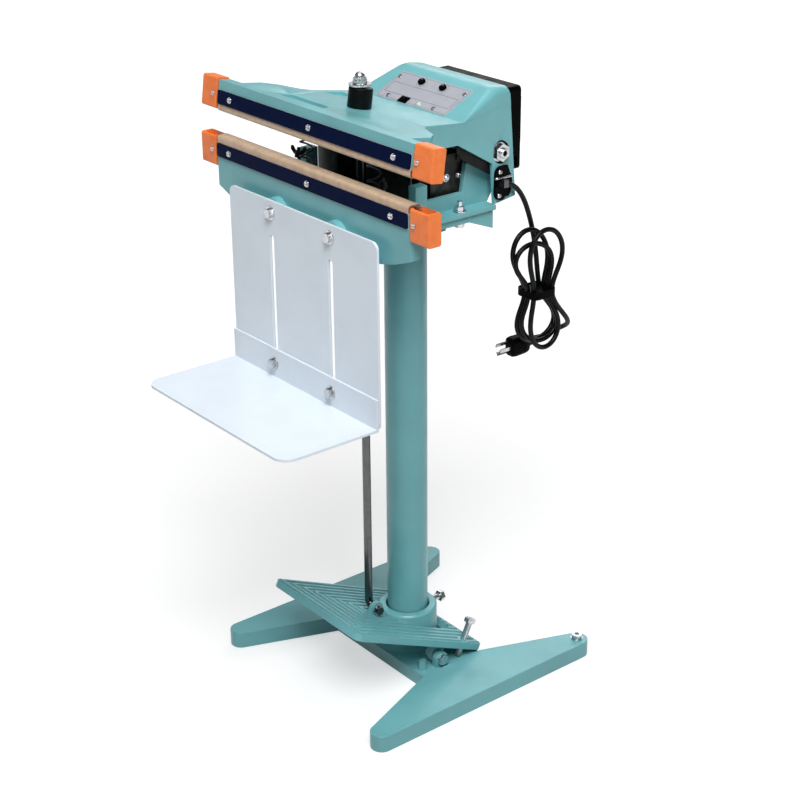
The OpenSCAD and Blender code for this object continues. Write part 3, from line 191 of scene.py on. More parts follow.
def noise(tree, vector, scale, detail=3.0, roughness=0.5):
    """A noise texture's factor; scale is a number or a socket."""
    node = add(tree, "ShaderNodeTexNoise")
    fill(node, Detail=detail, Roughness=roughness)
    if isinstance(scale, (int, float)):
        fill(node, Scale=scale)
    else:
        tree.links.new(scale, node.inputs["Scale"])
    tree.links.new(vector, node.inputs["Vector"])
    return node.outputs["Fac"]


def cast_surface_group():
    """Relief of enamel on a sand casting: slow waviness, orange peel and a few pits."""
    tree, given, result = shader_group("Cast Surface", [("Peel Scale", 900.0), ("Waviness", 1.0)],
                                       ["Height", "Shade"])
    place = object_place(tree)
    waves = noise(tree, place, 45.0, 2.0)
    peel = noise(tree, place, given.outputs["Peel Scale"], 2.0)
    pits = stretch(tree, 0.62, 0.72, noise(tree, place, 260.0, 4.0))
    slow = maths(tree, "MULTIPLY", maths(tree, "MULTIPLY", waves, 1.6), given.outputs["Waviness"])
    height = maths(tree, "ADD", slow, maths(tree, "MULTIPLY", peel, 0.35))
    pitted = maths(tree, "SUBTRACT", height, maths(tree, "MULTIPLY", pits, 0.12))
    tree.links.new(pitted, result.inputs["Height"])
    tree.links.new(stretch(tree, 0.35, 0.7, noise(tree, place, 14.0, 4.0)), result.inputs["Shade"])


def handling_group():
    """Where hands and rags have dulled or polished a surface: blotches crossed by fine scratches."""
    tree, given, result = shader_group("Handling", [("Scale", 60.0)], ["Smudge", "Scratch"])
    place = object_place(tree)
    tree.links.new(stretch(tree, 0.42, 0.68, noise(tree, place, given.outputs["Scale"], 5.0, 0.6)),
                   result.inputs["Smudge"])
    along = object_place(tree, (40.0, 900.0, 900.0), (0.3, 0.5, 0.7))
    across = object_place(tree, (900.0, 60.0, 700.0), (0.9, 0.2, 1.3))
    lines = maths(tree, "MAXIMUM", noise(tree, along, 1.0, 2.0), noise(tree, across, 1.0, 2.0))
    tree.links.new(stretch(tree, 0.70, 0.78, lines), result.inputs["Scratch"])


def grain_group():
    """Fine parallel lines of a drawn, rolled or brushed metal, along X."""
    tree, given, result = shader_group("Rolled Grain", [("Fineness", 1.0)], ["Height"])
    place = object_place(tree, (30.0, 2600.0, 2600.0))
    tree.links.new(noise(tree, place, given.outputs["Fineness"], 3.0), result.inputs["Height"])


def weave_group():
    """Plain weave of glass cloth: two crossed sets of threads that pass over and under each other."""
    tree, given, result = shader_group("Glass Weave", [("Threads", 1800.0)], ["Height", "Thread"])
    place = object_place(tree)
    parts = add(tree, "ShaderNodeSeparateXYZ")
    tree.links.new(place, parts.inputs[0])
    flat = maths(tree, "SUBTRACT", parts.outputs["Y"], parts.outputs["Z"])
    weft = maths(tree, "SINE", maths(tree, "MULTIPLY", parts.outputs["X"], given.outputs["Threads"]))
    warp = maths(tree, "SINE", maths(tree, "MULTIPLY", flat, given.outputs["Threads"]))
    over = maths(tree, "MULTIPLY", weft, warp)
    tree.links.new(stretch(tree, -1.0, 1.0, over), result.inputs["Height"])
    tree.links.new(stretch(tree, 0.4, 0.65, noise(tree, place, 120.0, 4.0)), result.inputs["Thread"])


# ---------- finishes ----------

def group_node(tree, group, **values):
    """Places a shader group and gives its inputs their values."""
    node = add(tree, "ShaderNodeGroup")
    node.node_tree = bpy.data.node_groups[group]
    fill(node, **values)
    return node


def new_finish(name, base, roughness, metallic=0.0, **sockets):
    """A material with its Principled shader; sockets are plain values on the shader itself."""
    material = bpy.data.materials.new(name)
    material.use_nodes = True
    tree = material.node_tree
    shader = tree.nodes["Principled BSDF"]
    fill(shader, Base_Color=(*base, 1.0), Roughness=roughness, Metallic=metallic, **sockets)
    return material, tree, shader


def tint(tree, shader, mask, base, toward):
    """Base colour that moves from one colour towards another where the mask is high."""
    mix = add(tree, "ShaderNodeMix", data_type="RGBA")
    fill(mix, A=(*base, 1.0), B=(*toward, 1.0))
    tree.links.new(mask, mix.inputs["Factor"])
    tree.links.new(mix.outputs["Result"], shader.inputs["Base Color"])


def roughen(tree, shader, mask, low, high):
    """Roughness that goes from low to high with the mask."""
    tree.links.new(stretch(tree, 0.0, 1.0, mask, low, high), shader.inputs["Roughness"])


def relief(tree, shader, height, strength, distance=0.001, edge=0.0):
    """Bump from a height, on top of softened edges where a radius is given."""
    bump = add(tree, "ShaderNodeBump")
    fill(bump, Strength=strength, Distance=distance)
    tree.links.new(height, bump.inputs["Height"])
    if edge:
        soft = add(tree, "ShaderNodeBevel", samples=4)
        fill(soft, Radius=edge)
        tree.links.new(soft.outputs["Normal"], bump.inputs["Normal"])
    tree.links.new(bump.outputs["Normal"], shader.inputs["Normal"])


def scaled(base, factor):
    """A colour made darker or lighter, up to white."""
    return tuple(min(1.0, c * factor) for c in base)


def enamel_finish():
    base = colours().enamel[:]
    material, tree, shader = new_finish("Stove enamel", base, 0.36, Specular_IOR_Level=0.35,
                                        Coat_Weight=0.12, Coat_Roughness=0.22)
    cast = group_node(tree, "Cast Surface", Peel_Scale=750.0, Waviness=0.8)
    hands = group_node(tree, "Handling", Scale=35.0)
    tint(tree, shader, cast.outputs["Shade"], scaled(base, 1.05), scaled(base, 0.90))
    roughen(tree, shader, hands.outputs["Smudge"], 0.30, 0.44)
    relief(tree, shader, cast.outputs["Height"], 0.35, 0.0006, 0.0009)
    return material


def plastic_finish(name, base, roughness, grain=0.25, scale=1600.0, edge=0.0006, **sockets):
    material, tree, shader = new_finish(name, base, roughness, **sockets)
    cast = group_node(tree, "Cast Surface", Peel_Scale=scale, Waviness=0.15)
    hands = group_node(tree, "Handling", Scale=80.0)
    tint(tree, shader, hands.outputs["Smudge"], base, scaled(base, 0.88))
    roughen(tree, shader, hands.outputs["Smudge"], roughness - 0.05, roughness + 0.08)
    relief(tree, shader, cast.outputs["Height"], grain, 0.0004, edge)
    return material


def steel_finish(name, base, roughness, grain=0.12, edge=0.0003):
    material, tree, shader = new_finish(name, base, roughness, 1.0)
    lines = group_node(tree, "Rolled Grain", Fineness=1.0)
    hands = group_node(tree, "Handling", Scale=120.0)
    tint(tree, shader, hands.outputs["Smudge"], base, scaled(base, 0.82))
    roughen(tree, shader, hands.outputs["Smudge"], roughness, roughness + 0.12)
    relief(tree, shader, lines.outputs["Height"], grain, 0.0002, edge)
    return material


def tape_finish():
    base = colours().tape[:]
    material, tree, shader = new_finish("Glass cloth tape", base, 0.42,
                                        Sheen_Weight=0.15, Sheen_Roughness=0.5)
    cloth = group_node(tree, "Glass Weave", Threads=3600.0)
    tint(tree, shader, cloth.outputs["Thread"], base, scaled(base, 0.84))
    roughen(tree, shader, cloth.outputs["Thread"], 0.36, 0.50)
    relief(tree, shader, cloth.outputs["Height"], 0.25, 0.0002, 0.0005)
    return material


def sheet_finish():
    base = colours().sheet[:]
    material, tree, shader = new_finish("Milky sheet", base, 0.34, IOR=1.49, Transmission_Weight=0.12,
                                        Coat_Weight=0.15, Coat_Roughness=0.2)
    hands = group_node(tree, "Handling", Scale=18.0)
    tint(tree, shader, hands.outputs["Smudge"], base, scaled(base, 0.96))
    scuffs = maths(tree, "MULTIPLY", hands.outputs["Scratch"], 0.35)
    worn = maths(tree, "MAXIMUM", maths(tree, "MULTIPLY", hands.outputs["Smudge"], 0.6), scuffs)
    roughen(tree, shader, worn, 0.32, 0.44)
    relief(tree, shader, hands.outputs["Smudge"], 0.02, 0.0001, 0.0004)
    return material


def laminate_finish():
    """Stacked transformer sheets: fine lines across the stack, dipped in black varnish."""
    base = colours().black[:]
    material, tree, shader = new_finish("Laminations", scaled(base, 1.6), 0.38, 0.3)
    place = object_place(tree)
    parts = add(tree, "ShaderNodeSeparateXYZ")
    tree.links.new(place, parts.inputs[0])
    lines = maths(tree, "SINE", maths(tree, "MULTIPLY", parts.outputs["Y"], 9000.0))
    hands = group_node(tree, "Handling", Scale=60.0)
    tint(tree, shader, hands.outputs["Smudge"], scaled(base, 1.6), (0.05, 0.045, 0.04))
    relief(tree, shader, lines, 0.3, 0.0002, 0.0006)
    return material


def panel_finish():
    """Satin anodised sheet, brushed along its width."""
    base = colours().plate[:]
    material, tree, shader = new_finish("Brushed panel", base, 0.42, 0.35)
    lines = group_node(tree, "Rolled Grain", Fineness=1.0)
    hands = group_node(tree, "Handling", Scale=70.0)
    tint(tree, shader, hands.outputs["Smudge"], base, scaled(base, 0.93))
    roughen(tree, shader, lines.outputs["Height"], 0.36, 0.50)
    relief(tree, shader, lines.outputs["Height"], 0.10, 0.0001, 0.0003)
    return material


def lamp_finish():
    material, tree, shader = new_finish("Lamp lens", (0.8, 0.82, 0.8), 0.12,
                                        Transmission_Weight=0.5, IOR=1.5)
    cast = group_node(tree, "Cast Surface", Peel_Scale=2500.0, Waviness=0.1)
    relief(tree, shader, cast.outputs["Height"], 0.15, 0.0002)
    return material


FINISHES = {}


def make_finishes():
    cast_surface_group()
    handling_group()
    grain_group()
    weave_group()
    c = colours()
    FINISHES.update({
        "teal_casting": enamel_finish(),
        "orange_cap": plastic_finish("Orange moulding", c.cap[:], 0.42, 0.2),
        "navy_strip": plastic_finish("Blue strip", c.strip[:], 0.38, 0.05, Specular_IOR_Level=0.02),
        "tan_tape": tape_finish(),
        "pad_rubber": plastic_finish("Silicone pad", (0.30, 0.10, 0.045), 0.6, 0.15),
        "ribbon_steel": steel_finish("Heating ribbon", (0.55, 0.53, 0.50), 0.3),
        "screw_steel": steel_finish("Plated steel", scaled(c.steel[:], 0.86), 0.24),
        "black_metal": laminate_finish(),
        "black_plastic": plastic_finish("Black moulding", c.black[:], 0.42, 0.3, Specular_IOR_Level=0.03),
        "black_rubber": plastic_finish("Black rubber", c.black[:], 0.40, 0.2, 900.0, Specular_IOR_Level=0.16),
        "brass": steel_finish("Brass", c.brass[:], 0.22),
        "clear_sheet": sheet_finish(),
        "panel_silver": panel_finish(),
        "board_green": plastic_finish("Board", (0.01, 0.09, 0.03), 0.35, 0.1),
        "lamp_lens": lamp_finish(),
        "spring": steel_finish("Oiled spring steel", (0.13, 0.13, 0.14), 0.28),
        "drawn": steel_finish("Drawn rod", scaled(c.steel[:], 0.17), 0.16, 0.02),
        "pins": steel_finish("Nickel on brass", (0.62, 0.61, 0.58), 0.2),
        "print": plastic_finish("Printed line", (0.11, 0.115, 0.13), 0.5, 0.05),
        "signal_red": plastic_finish("Red plunger", (0.42, 0.025, 0.015), 0.35),
    })


# ---------- mesh helpers ----------

def dress(obj, body, slot, *nodes, finish=None):
    """Gives a new piece its finish, from its slot unless a finish is given, hangs it on its body and hides
    the CAD nodes it stands for.
    """
    obj.data.materials.clear()
    obj.data.materials.append(finish or FINISHES[slot])
    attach(obj, body)
    if nodes:
        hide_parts(*nodes)
    return obj


def mesh_piece(name, bm, smooth_deg=35.0):
    """A new object from a bmesh, smooth except over sharp edges."""
    mesh = bpy.data.meshes.new(name)
    bmesh.ops.recalc_face_normals(bm, faces=bm.faces)
    bm.to_mesh(mesh)
    bm.free()
    obj = bpy.data.objects.new(name, mesh)
    bpy.context.collection.objects.link(obj)
    mesh.shade_smooth()
    mesh.set_sharp_from_angle(angle=radians(smooth_deg))
    return obj


# The least turn between two faces that makes an edge to round
EDGE_TURN = radians(32.0)


def rounded(node, width, segments=3):
    """A copy of a CAD node with flat faces joined and its sharp edges rounded; it stands for the node."""
    bm = bmesh.new()
    bm.from_mesh(NODES[node].data)
    bmesh.ops.remove_doubles(bm, verts=bm.verts, dist=1e-6)
    bmesh.ops.dissolve_limit(bm, angle_limit=radians(0.8), verts=bm.verts, edges=bm.edges, delimit=set())
    obj = mesh_piece(node + "_rounded", bm)
    bevel = obj.modifiers.new("Edges", "BEVEL")
    bevel.width = width
    bevel.segments = segments
    bevel.limit_method = "ANGLE"
    bevel.angle_limit = EDGE_TURN
    bevel.miter_outer = "MITER_ARC"
    bevel.use_clamp_overlap = True
    bevel.harden_normals = True
    return dress(obj, BODY_OF[node], SLOT_OF[node], node)


def curve_piece(name, points, radius, resolution=4):
    """A round wire or cord along a list of points."""
    curve = bpy.data.curves.new(name, "CURVE")
    curve.dimensions = "3D"
    curve.bevel_depth = radius
    curve.bevel_resolution = resolution
    curve.use_fill_caps = True
    spline = curve.splines.new("POLY")
    spline.points.add(len(points) - 1)
    for point, place in zip(spline.points, points):
        point.co = (*place, 1.0)
    spline.use_smooth = True
    obj = bpy.data.objects.new(name, curve)
    bpy.context.collection.objects.link(obj)
    return obj


def as_mesh(obj):
    """The mesh object that a curve object comes to; the curve is removed."""
    mesh = bpy.data.meshes.new_from_object(obj)
    name = obj.name
    bpy.data.objects.remove(obj)
    piece = bpy.data.objects.new(name, mesh)
    bpy.context.collection.objects.link(piece)
    mesh.shade_smooth()
    return piece


def smooth_path(points, step):
    """Catmull-Rom curve through the points, resampled at about the given step."""
    points = [Vector(p) for p in points]
    fine = []
    for i in range(len(points) - 1):
        a = points[max(i - 1, 0)]
        b, c = points[i], points[i + 1]
        d = points[min(i + 2, len(points) - 1)]
        for k in range(8):
            t = k / 8
            fine.append(0.5 * (2 * b + (c - a) * t + (2 * a - 5 * b + 4 * c - d) * t * t
                               + (3 * b - a - 3 * c + d) * t * t * t))
    fine.append(points[-1])
    out = [fine[0]]
    for p in fine[1:-1]:
        if (p - out[-1]).length >= step:
            out.append(p)
    out.append(fine[-1])
    return out


def lathe(bm, profile, matrix, steps=40):
    """Adds a closed body of revolution; profile is (radius, height) from axis to axis."""
    rings = []
    for radius, height in profile:
        if radius < 1e-7:
            rings.append([bm.verts.new(matrix @ Vector((0, 0, height)))])
            continue
        rings.append([bm.verts.new(matrix @ Vector((radius * cos(2 * pi * k / steps),
                                                    radius * sin(2 * pi * k / steps), height)))
                      for k in range(steps)])
    for a, b in zip(rings, rings[1:]):
        for k in range(steps):
            n = (k + 1) % steps
            corners = [a[k % len(a)], a[n % len(a)], b[n % len(b)], b[k % len(b)]]
            unique = list(dict.fromkeys(corners))
            if len(unique) > 2:
                bm.faces.new(unique)


def strip(bm, a, b):
    """Adds the faces between two rows of vertices."""
    for k in range(len(a) - 1):
        bm.faces.new([a[k], a[k + 1], b[k + 1], b[k]])


def bridge(bm, rings):
    """Adds the faces between each closed ring of vertices and the next one."""
    for a, b in zip(rings, rings[1:]):
        strip(bm, a + a[:1], b + b[:1])


def slab(bm, outline, low, high, matrix=Matrix()):
    """Adds a flat piece: an outline of (x, y) points from one height to another."""
    lower = [bm.verts.new(matrix @ Vector((x, y, low))) for x, y in outline]
    upper = [bm.verts.new(matrix @ Vector((x, y, high))) for x, y in outline]
    bm.faces.new(lower)
    bm.faces.new(upper)
    bridge(bm, [lower, upper])


def round_box(width, depth, radius, steps=6):
    """Outline of a rectangle with rounded corners, round its middle."""
    points = []
    for cx, cy, start in ((1, 1, 0), (-1, 1, 90), (-1, -1, 180), (1, -1, 270)):
        for k in range(steps + 1):
            a = radians(start + 90 * k / steps)
            points.append((cx * (width / 2 - radius) + radius * cos(a),
                           cy * (depth / 2 - radius) + radius * sin(a)))
    return points


def axes_matrix(origin, x_axis, z_axis):
    """A frame at a point, from the direction of its X and Z axes."""
    z = Vector(z_axis).normalized()
    x = Vector(x_axis)
    x = (x - x.dot(z) * z).normalized()
    y = z.cross(x)
    return Matrix((*zip(x, y, z, origin), (0, 0, 0, 1)))


# ---------- camera ----------

CAMERA_PLACE = (1.4732, -1.1862, 1.2003)
# Azimuth, elevation and roll in degrees
CAMERA_TURN = (51.39, 24.23, -0.47)
CAMERA_LENS, CAMERA_SENSOR = 77.507, 36.0


class SEALER_OT_camera(bpy.types.Operator):
    """Set the camera in front of the machine's right side"""
    bl_idname = "sealer.camera"
    bl_label = "Camera"

    def execute(self, context):
        azimuth, elevation, roll = (radians(angle) for angle in CAMERA_TURN)
        back = Vector((sin(azimuth) * cos(elevation), -cos(azimuth) * cos(elevation), sin(elevation)))
        right = (-back).cross(Vector((0, 0, 1))).normalized()
        up = right.cross(-back)
        side = cos(roll) * right + sin(roll) * up
        top = -sin(roll) * right + cos(roll) * up
        data = bpy.data.cameras.new("Camera")
        data.lens = CAMERA_LENS
        data.sensor_width = CAMERA_SENSOR
        camera = bpy.data.objects.new("Camera", data)
        camera.matrix_world = Matrix((*zip(side, top, back, CAMERA_PLACE), (0, 0, 0, 1)))
        context.collection.objects.link(camera)
        context.scene.camera = camera
        return {"FINISHED"}


# ---------- cord ----------

# The hank's middle, and the half width of its waist and the height of its knees
HANK_X, HANK_Y, HANK_Z = 0.0957, 0.109, 0.494
WAIST, LOBE_Z = 0.0110, 0.046
# Where along its turns the strand starts and ends, and how far each turn lies outside the last
FIRST_TURN, LAST_TURN, TURN_STEPS = 0.26, 3.30, 48
FIRST_LAYER, NEXT_LAYER = 7.6, 6.5
# Length, half width and sideways lean of the strand's lobes, upper and lower in turn
LOBES = [
    (0.0795, 0.0385, 0.0), (0.0665, 0.0320, 0.009), (0.0785, 0.0262, -0.013), (0.0660, 0.0315, 0.011),
    (0.0620, 0.0300, -0.013), (0.0740, 0.0255, 0.012), (0.0785, 0.0262, 0.004), (0.0795, 0.0385, 0.0),
]


def lobe_at(turn):
    """Length, half width and lean at a place along the strand, eased from lobe to lobe."""
    k = min(int(turn * 2), len(LOBES) - 2)
    ease = (1 - cos(pi * (turn * 2 - k))) / 2
    return [a + (b - a) * ease for a, b in zip(LOBES[k], LOBES[k + 1])]


def hank_points():
    """Three loose loops that lie side by side, from the waist to the rear of the last lobe."""
    points = []
    count = int((LAST_TURN - FIRST_TURN) * TURN_STEPS)
    for i in range(count + 1):
        turn = FIRST_TURN + (LAST_TURN - FIRST_TURN) * i / count
        length, half, lean = lobe_at(turn)
        z = length * cos(2 * pi * turn)
        side = 1 if sin(2 * pi * turn) >= 0 else -1
        knee = min(LOBE_Z, 0.6 * length)
        if abs(z) > knee:
            reach = half * sqrt(max(0.0, 1 - ((abs(z) - knee) / (length - knee)) ** 2))
        else:
            reach = WAIST + (half - WAIST) * (1 - cos(pi * z / knee)) / 2
        layer = min(turn, 1.0) * FIRST_LAYER + max(turn - 1.0, 0.0) * NEXT_LAYER
        y = HANK_Y + side * reach + lean * min(abs(z) / knee, 1.0)
        points.append((HANK_X + layer * MM, y, HANK_Z + z))
    return points


def cord_points():
    """The whole path from the clamp to the plug, eased by repeated averaging."""
    path = smooth_path(LEAD + hank_points()[:-1] + TAIL[::-1][1:], 0.0035)
    for _ in range(16):
        path = path[:1] + [(a + 2 * b + c) / 4 for a, b, c in zip(path, path[1:], path[2:])] + path[-1:]
    return path


class SEALER_OT_cord(bpy.types.Operator):
    """Build the mains cord with its hank, tie and plug"""
    bl_idname = "sealer.cord"
    bl_label = "Cord and plug"

    def execute(self, context):
        points = cord_points()
        cord = curve_piece("mains_cord", points, sizes().cord_diameter / 2, resolution=5)
        dress(cord, "arm", "black_rubber", "cord_lead", "cord_hank")
        tie = self.tie()
        plug = self.plug()
        return {"FINISHED"}

    def tie(self):
        """Plastic band wound once round the hank's waist, over a filled core."""
        low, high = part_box("cord_tie")
        middle = ((low.x + high.x) / 2, HANK_Y)
        outer, inner, core = [
            [(middle[0] + x, middle[1] + y) for x, y in round_box(high.x - low.x - less, depth, radius)]
            for less, depth, radius in ((0.0, 0.036, 0.008), (0.0024, 0.0336, 0.007), (0.003, 0.033, 0.007))
        ]
        bm = bmesh.new()
        rings = [[bm.verts.new((x, y, z)) for x, y in ring] for ring, z in
                 ((outer, low.z), (outer, high.z), (inner, high.z), (inner, low.z))]
        bridge(bm, rings + rings[:1])
        slab(bm, core, low.z + 0.0015, high.z - 0.0015)
        return dress(mesh_piece("hank_tie", bm), "arm", "black_plastic", "cord_tie")

    def plug(self):
        """Moulded plug: rounded body with grip ribs and a ringed strain relief."""
        body_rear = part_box("plug")[0].y + 0.028
        at = axes_matrix((TAIL[0][0], body_rear, TAIL[0][2]), (1, 0, 0), (0, 1, 0))
        bm = bmesh.new()
        stations = [(-0.028, 0.80), (-0.0268, 0.94), (-0.022, 1.0), (-0.008, 0.97), (-0.003, 0.90),
                    (-0.0006, 0.76), (0.0, 0.60)]
        rings = []
        for z, size in stations:
            rings.append([bm.verts.new(at @ Vector((x * size, y * size, z)))
                          for x, y in round_box(0.0172, 0.0238, 0.0052, 5)])
        bridge(bm, rings)
        bm.faces.new(rings[0])
        bm.faces.new(rings[-1])
        profile = [(0.0, -0.001), (0.0062, -0.001), (0.0062, 0.0015)]
        for k in range(6):
            z = 0.0025 + 0.0034 * k
            r = 0.0057 - 0.0003 * k
            profile += [(r, z), (r, z + 0.0018), (r - 0.0008, z + 0.0022), (r - 0.0008, z + 0.0030)]
        profile += [(0.0034, 0.0236), (0.0034, 0.024), (0.0, 0.024)]
        lathe(bm, profile, at, 28)
        for side in (-1, 1):
            for k in range(4):
                bar = Matrix.Translation((side * 0.0083, 0, -0.019 + 0.0032 * k))
                slab(bm, round_box(0.0008, 0.013, 0.0003, 2), 0.0, 0.0014, at @ bar)
        return dress(mesh_piece("moulded_plug", bm), "arm", "black_plastic", "plug")


# ---------- castings ----------

class SEALER_OT_castings(bpy.types.Operator):
    """Round the edges of the castings and mouldings"""
    bl_idname = "sealer.castings"
    bl_label = "Castings"

    def execute(self, context):
        for node in ("base_plate", "foot_left", "foot_right", "head_frame", "post_bracket", "arm_casting"):
            rounded(node, sizes().casting_edge)
        for node in ("lower_cap_left", "lower_cap_right", "upper_cap_left", "upper_cap_right", "rear_cover"):
            rounded(node, sizes().moulding_edge)
        for node in ("tray_plate", "tray_shelf"):
            rounded(node, 0.0005, 2)
        return {"FINISHED"}


class SEALER_OT_finishes(bpy.types.Operator):
    """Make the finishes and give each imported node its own"""
    bl_idname = "sealer.finishes"
    bl_label = "Finishes"

    def execute(self, context):
        make_finishes()
        for node, obj in NODES.items():
            obj.data.materials.clear()
            obj.data.materials.append(FINISHES[SLOT_OF[node]])
            obj.data.shade_smooth()
            obj.data.set_sharp_from_angle(angle=radians(30))
        NODES["plug_pins"].data.materials[0] = FINISHES["pins"]
        NODES["clamp_saddle"].data.materials[0] = FINISHES["spring"]
        NODES["pull_rod"].data.materials[0] = FINISHES["drawn"]
        return {"FINISHED"}


class SEALER_OT_springs(bpy.types.Operator):
    """Wind the return springs and turn the rubber pressure sleeve"""
    bl_idname = "sealer.springs"
    bl_label = "Springs and sleeve"

    def execute(self, context):
        low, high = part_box("return_springs")
        wire = sizes().spring_wire
        coil_r, pitch = 0.007, 2 * wire
        for name, x in (("spring_left", low.x), ("spring_right", high.x)):
            side = 1 if x > 0 else -1
            centre_x = x - side * (coil_r + wire)
            centre_y = (low.y + high.y) / 2
            z0, z1 = low.z + wire, high.z - wire
            turns = sizes().spring_turns + 2
            points = []
            for i in range(turns * 24 + 1):
                t = i / (turns * 24)
                a = 2 * pi * turns * t
                rise = min(max((t - 1 / turns) / (1 - 2 / turns), 0.0), 1.0)
                z = z0 + pitch * min(t * turns, 1.0) + (z1 - z0 - 2 * pitch) * rise
                z += pitch * max(0.0, (t - 1 + 1 / turns) * turns)
                points.append((centre_x + coil_r * cos(a), centre_y + coil_r * sin(a), z))
            spring = as_mesh(curve_piece(name, points, wire, resolution=3))
            stands_for = ["return_springs"] if side < 0 else []
            dress(spring, "base", "screw_steel", *stands_for, finish=FINISHES["spring"])
            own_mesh(spring)
        return self.sleeve()

    def sleeve(self):
        """The rubber sleeve that the rod's washer presses on, tilted with the arm."""
        low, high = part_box("pressure_sleeve")
        centre = (low + high) / 2
        tilt = -OPEN
        at = Matrix.Translation(centre) @ Matrix.Rotation(tilt, 4, "X")
        r, bore = (high.x - low.x) / 2, 0.0068
        h = ((high.z - low.z) - 2 * r * sin(abs(tilt))) / cos(tilt)
        bm = bmesh.new()
        edge = 0.0012
        flat = r - edge
        profile = [(bore, -h / 2), (flat, -h / 2)]
        profile += [(flat + edge * sin(a), -h / 2 + edge - edge * cos(a)) for a in (pi / 6, pi / 3, pi / 2)]
        profile += [(flat + edge * cos(a), h / 2 - edge + edge * sin(a)) for a in (0, pi / 6, pi / 3, pi / 2)]
        profile += [(bore, h / 2), (bore, -h / 2)]
        lathe(bm, profile, at, 48)
        bmesh.ops.remove_doubles(bm, verts=bm.verts, dist=1e-6)
        sleeve = dress(mesh_piece("rubber_sleeve", bm), "arm", "black_rubber", "pressure_sleeve")
        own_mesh(sleeve)
        return {"FINISHED"}


# ---------- hood ----------

# The hood is laid out in millimetres. Half width of the closed hood at one place in Y and Z, how its
# flanks lean in to the rear and upward, and how thick they are
HALF, HALF_Y, HALF_Z = 103.0, -66.0, 700.0
TAPER, LEAN = tan(radians(7.5)), tan(radians(6.7))
HOOD_WALL = 5.0
# Where the sloping front starts in Y, how steep it is, and the skin's height there and at the rear edge
SLOPE_Y, SLOPE = 5.6, 0.4937
REAR = 86.0
SKIN_Z, ROOF_Z = 708.95, 733.0
# How near slope and roof come before the bend between them starts, and how far it cuts the corner
BEND, BEND_CUT = 6.0, 1.5
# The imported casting's top: its height where the slope starts, its ridge in Y and Z, the fall of its roof
# to the rear, and how deep under it the skin's lining lies
CASTING_Z, RIDGE_Y, RIDGE_Z, ROOF_FALL, LINING = 708.7, 53.4, 732.3, 0.1405, 1.2
# Places in Y of the skin's sections, closer over the bend, and how far the last two fall
STATIONS = [5.0, 7.0, 10.0, 14.0] + [18.0 + 4.0 * k for k in range(9)]
STATIONS += [53.0 + 1.5 * k for k in range(12)] + [75.0, 80.0, 84.0, 85.2, REAR]
REAR_FALL = {85.2: 0.25, REAR: 1.0}


def hood_half(y, z):
    """Half width between the open hood's two leaning flanks."""
    dy, dz = y - PIVOT[0], z - PIVOT[1]
    closed_y = PIVOT[0] + dy * cos(OPEN) - dz * sin(OPEN)
    closed_z = PIVOT[1] + dy * sin(OPEN) + dz * cos(OPEN)
    return HALF - (closed_y - HALF_Y) * TAPER - (closed_z - HALF_Z) * LEAN


def hood_top(y):
    """Height of the skin: up the sloping front, over a soft bend and back along the roof."""
    slope = SKIN_Z + SLOPE * (y - SLOPE_Y)
    roof = ROOF_Z + (REAR - y) * tan(OPEN)
    blend = max(BEND - abs(slope - roof), 0.0) / BEND
    return min(slope, roof) - blend * blend * BEND_CUT


def lining_top(y):
    """Height of the skin's lining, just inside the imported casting's top."""
    return min(CASTING_Z + SLOPE * (y - SLOPE_Y), RIDGE_Z - ROOF_FALL * (y - RIDGE_Y)) - LINING


def on_flank(y, z, proud, side=1):
    """A point in metres that stands proud of the hood's right flank, or of the left one with side -1."""
    return Vector((side * (hood_half(y, z) + proud) * MM, y * MM, z * MM))


def hood_section(y, top, radius, drop, proud):
    """One section from the left flank over the top to the right flank."""
    half = hood_half(y, top - radius) + proud
    right = [(0.0, top), (half * 0.45, top), (half - radius - 4.0, top)]
    for k in range(9):
        a = pi / 2 * k / 8
        right.append((half - radius + radius * sin(a), top - radius + radius * cos(a)))
    for k in (1, 2, 3):
        z = top - radius - (drop - radius) * k / 3
        right.append((hood_half(y, z) + proud - (0.5 if k == 3 else 0.0), z))
    return [(-x, y, z) for x, z in right[:0:-1]] + [(x, y, z) for x, z in right]


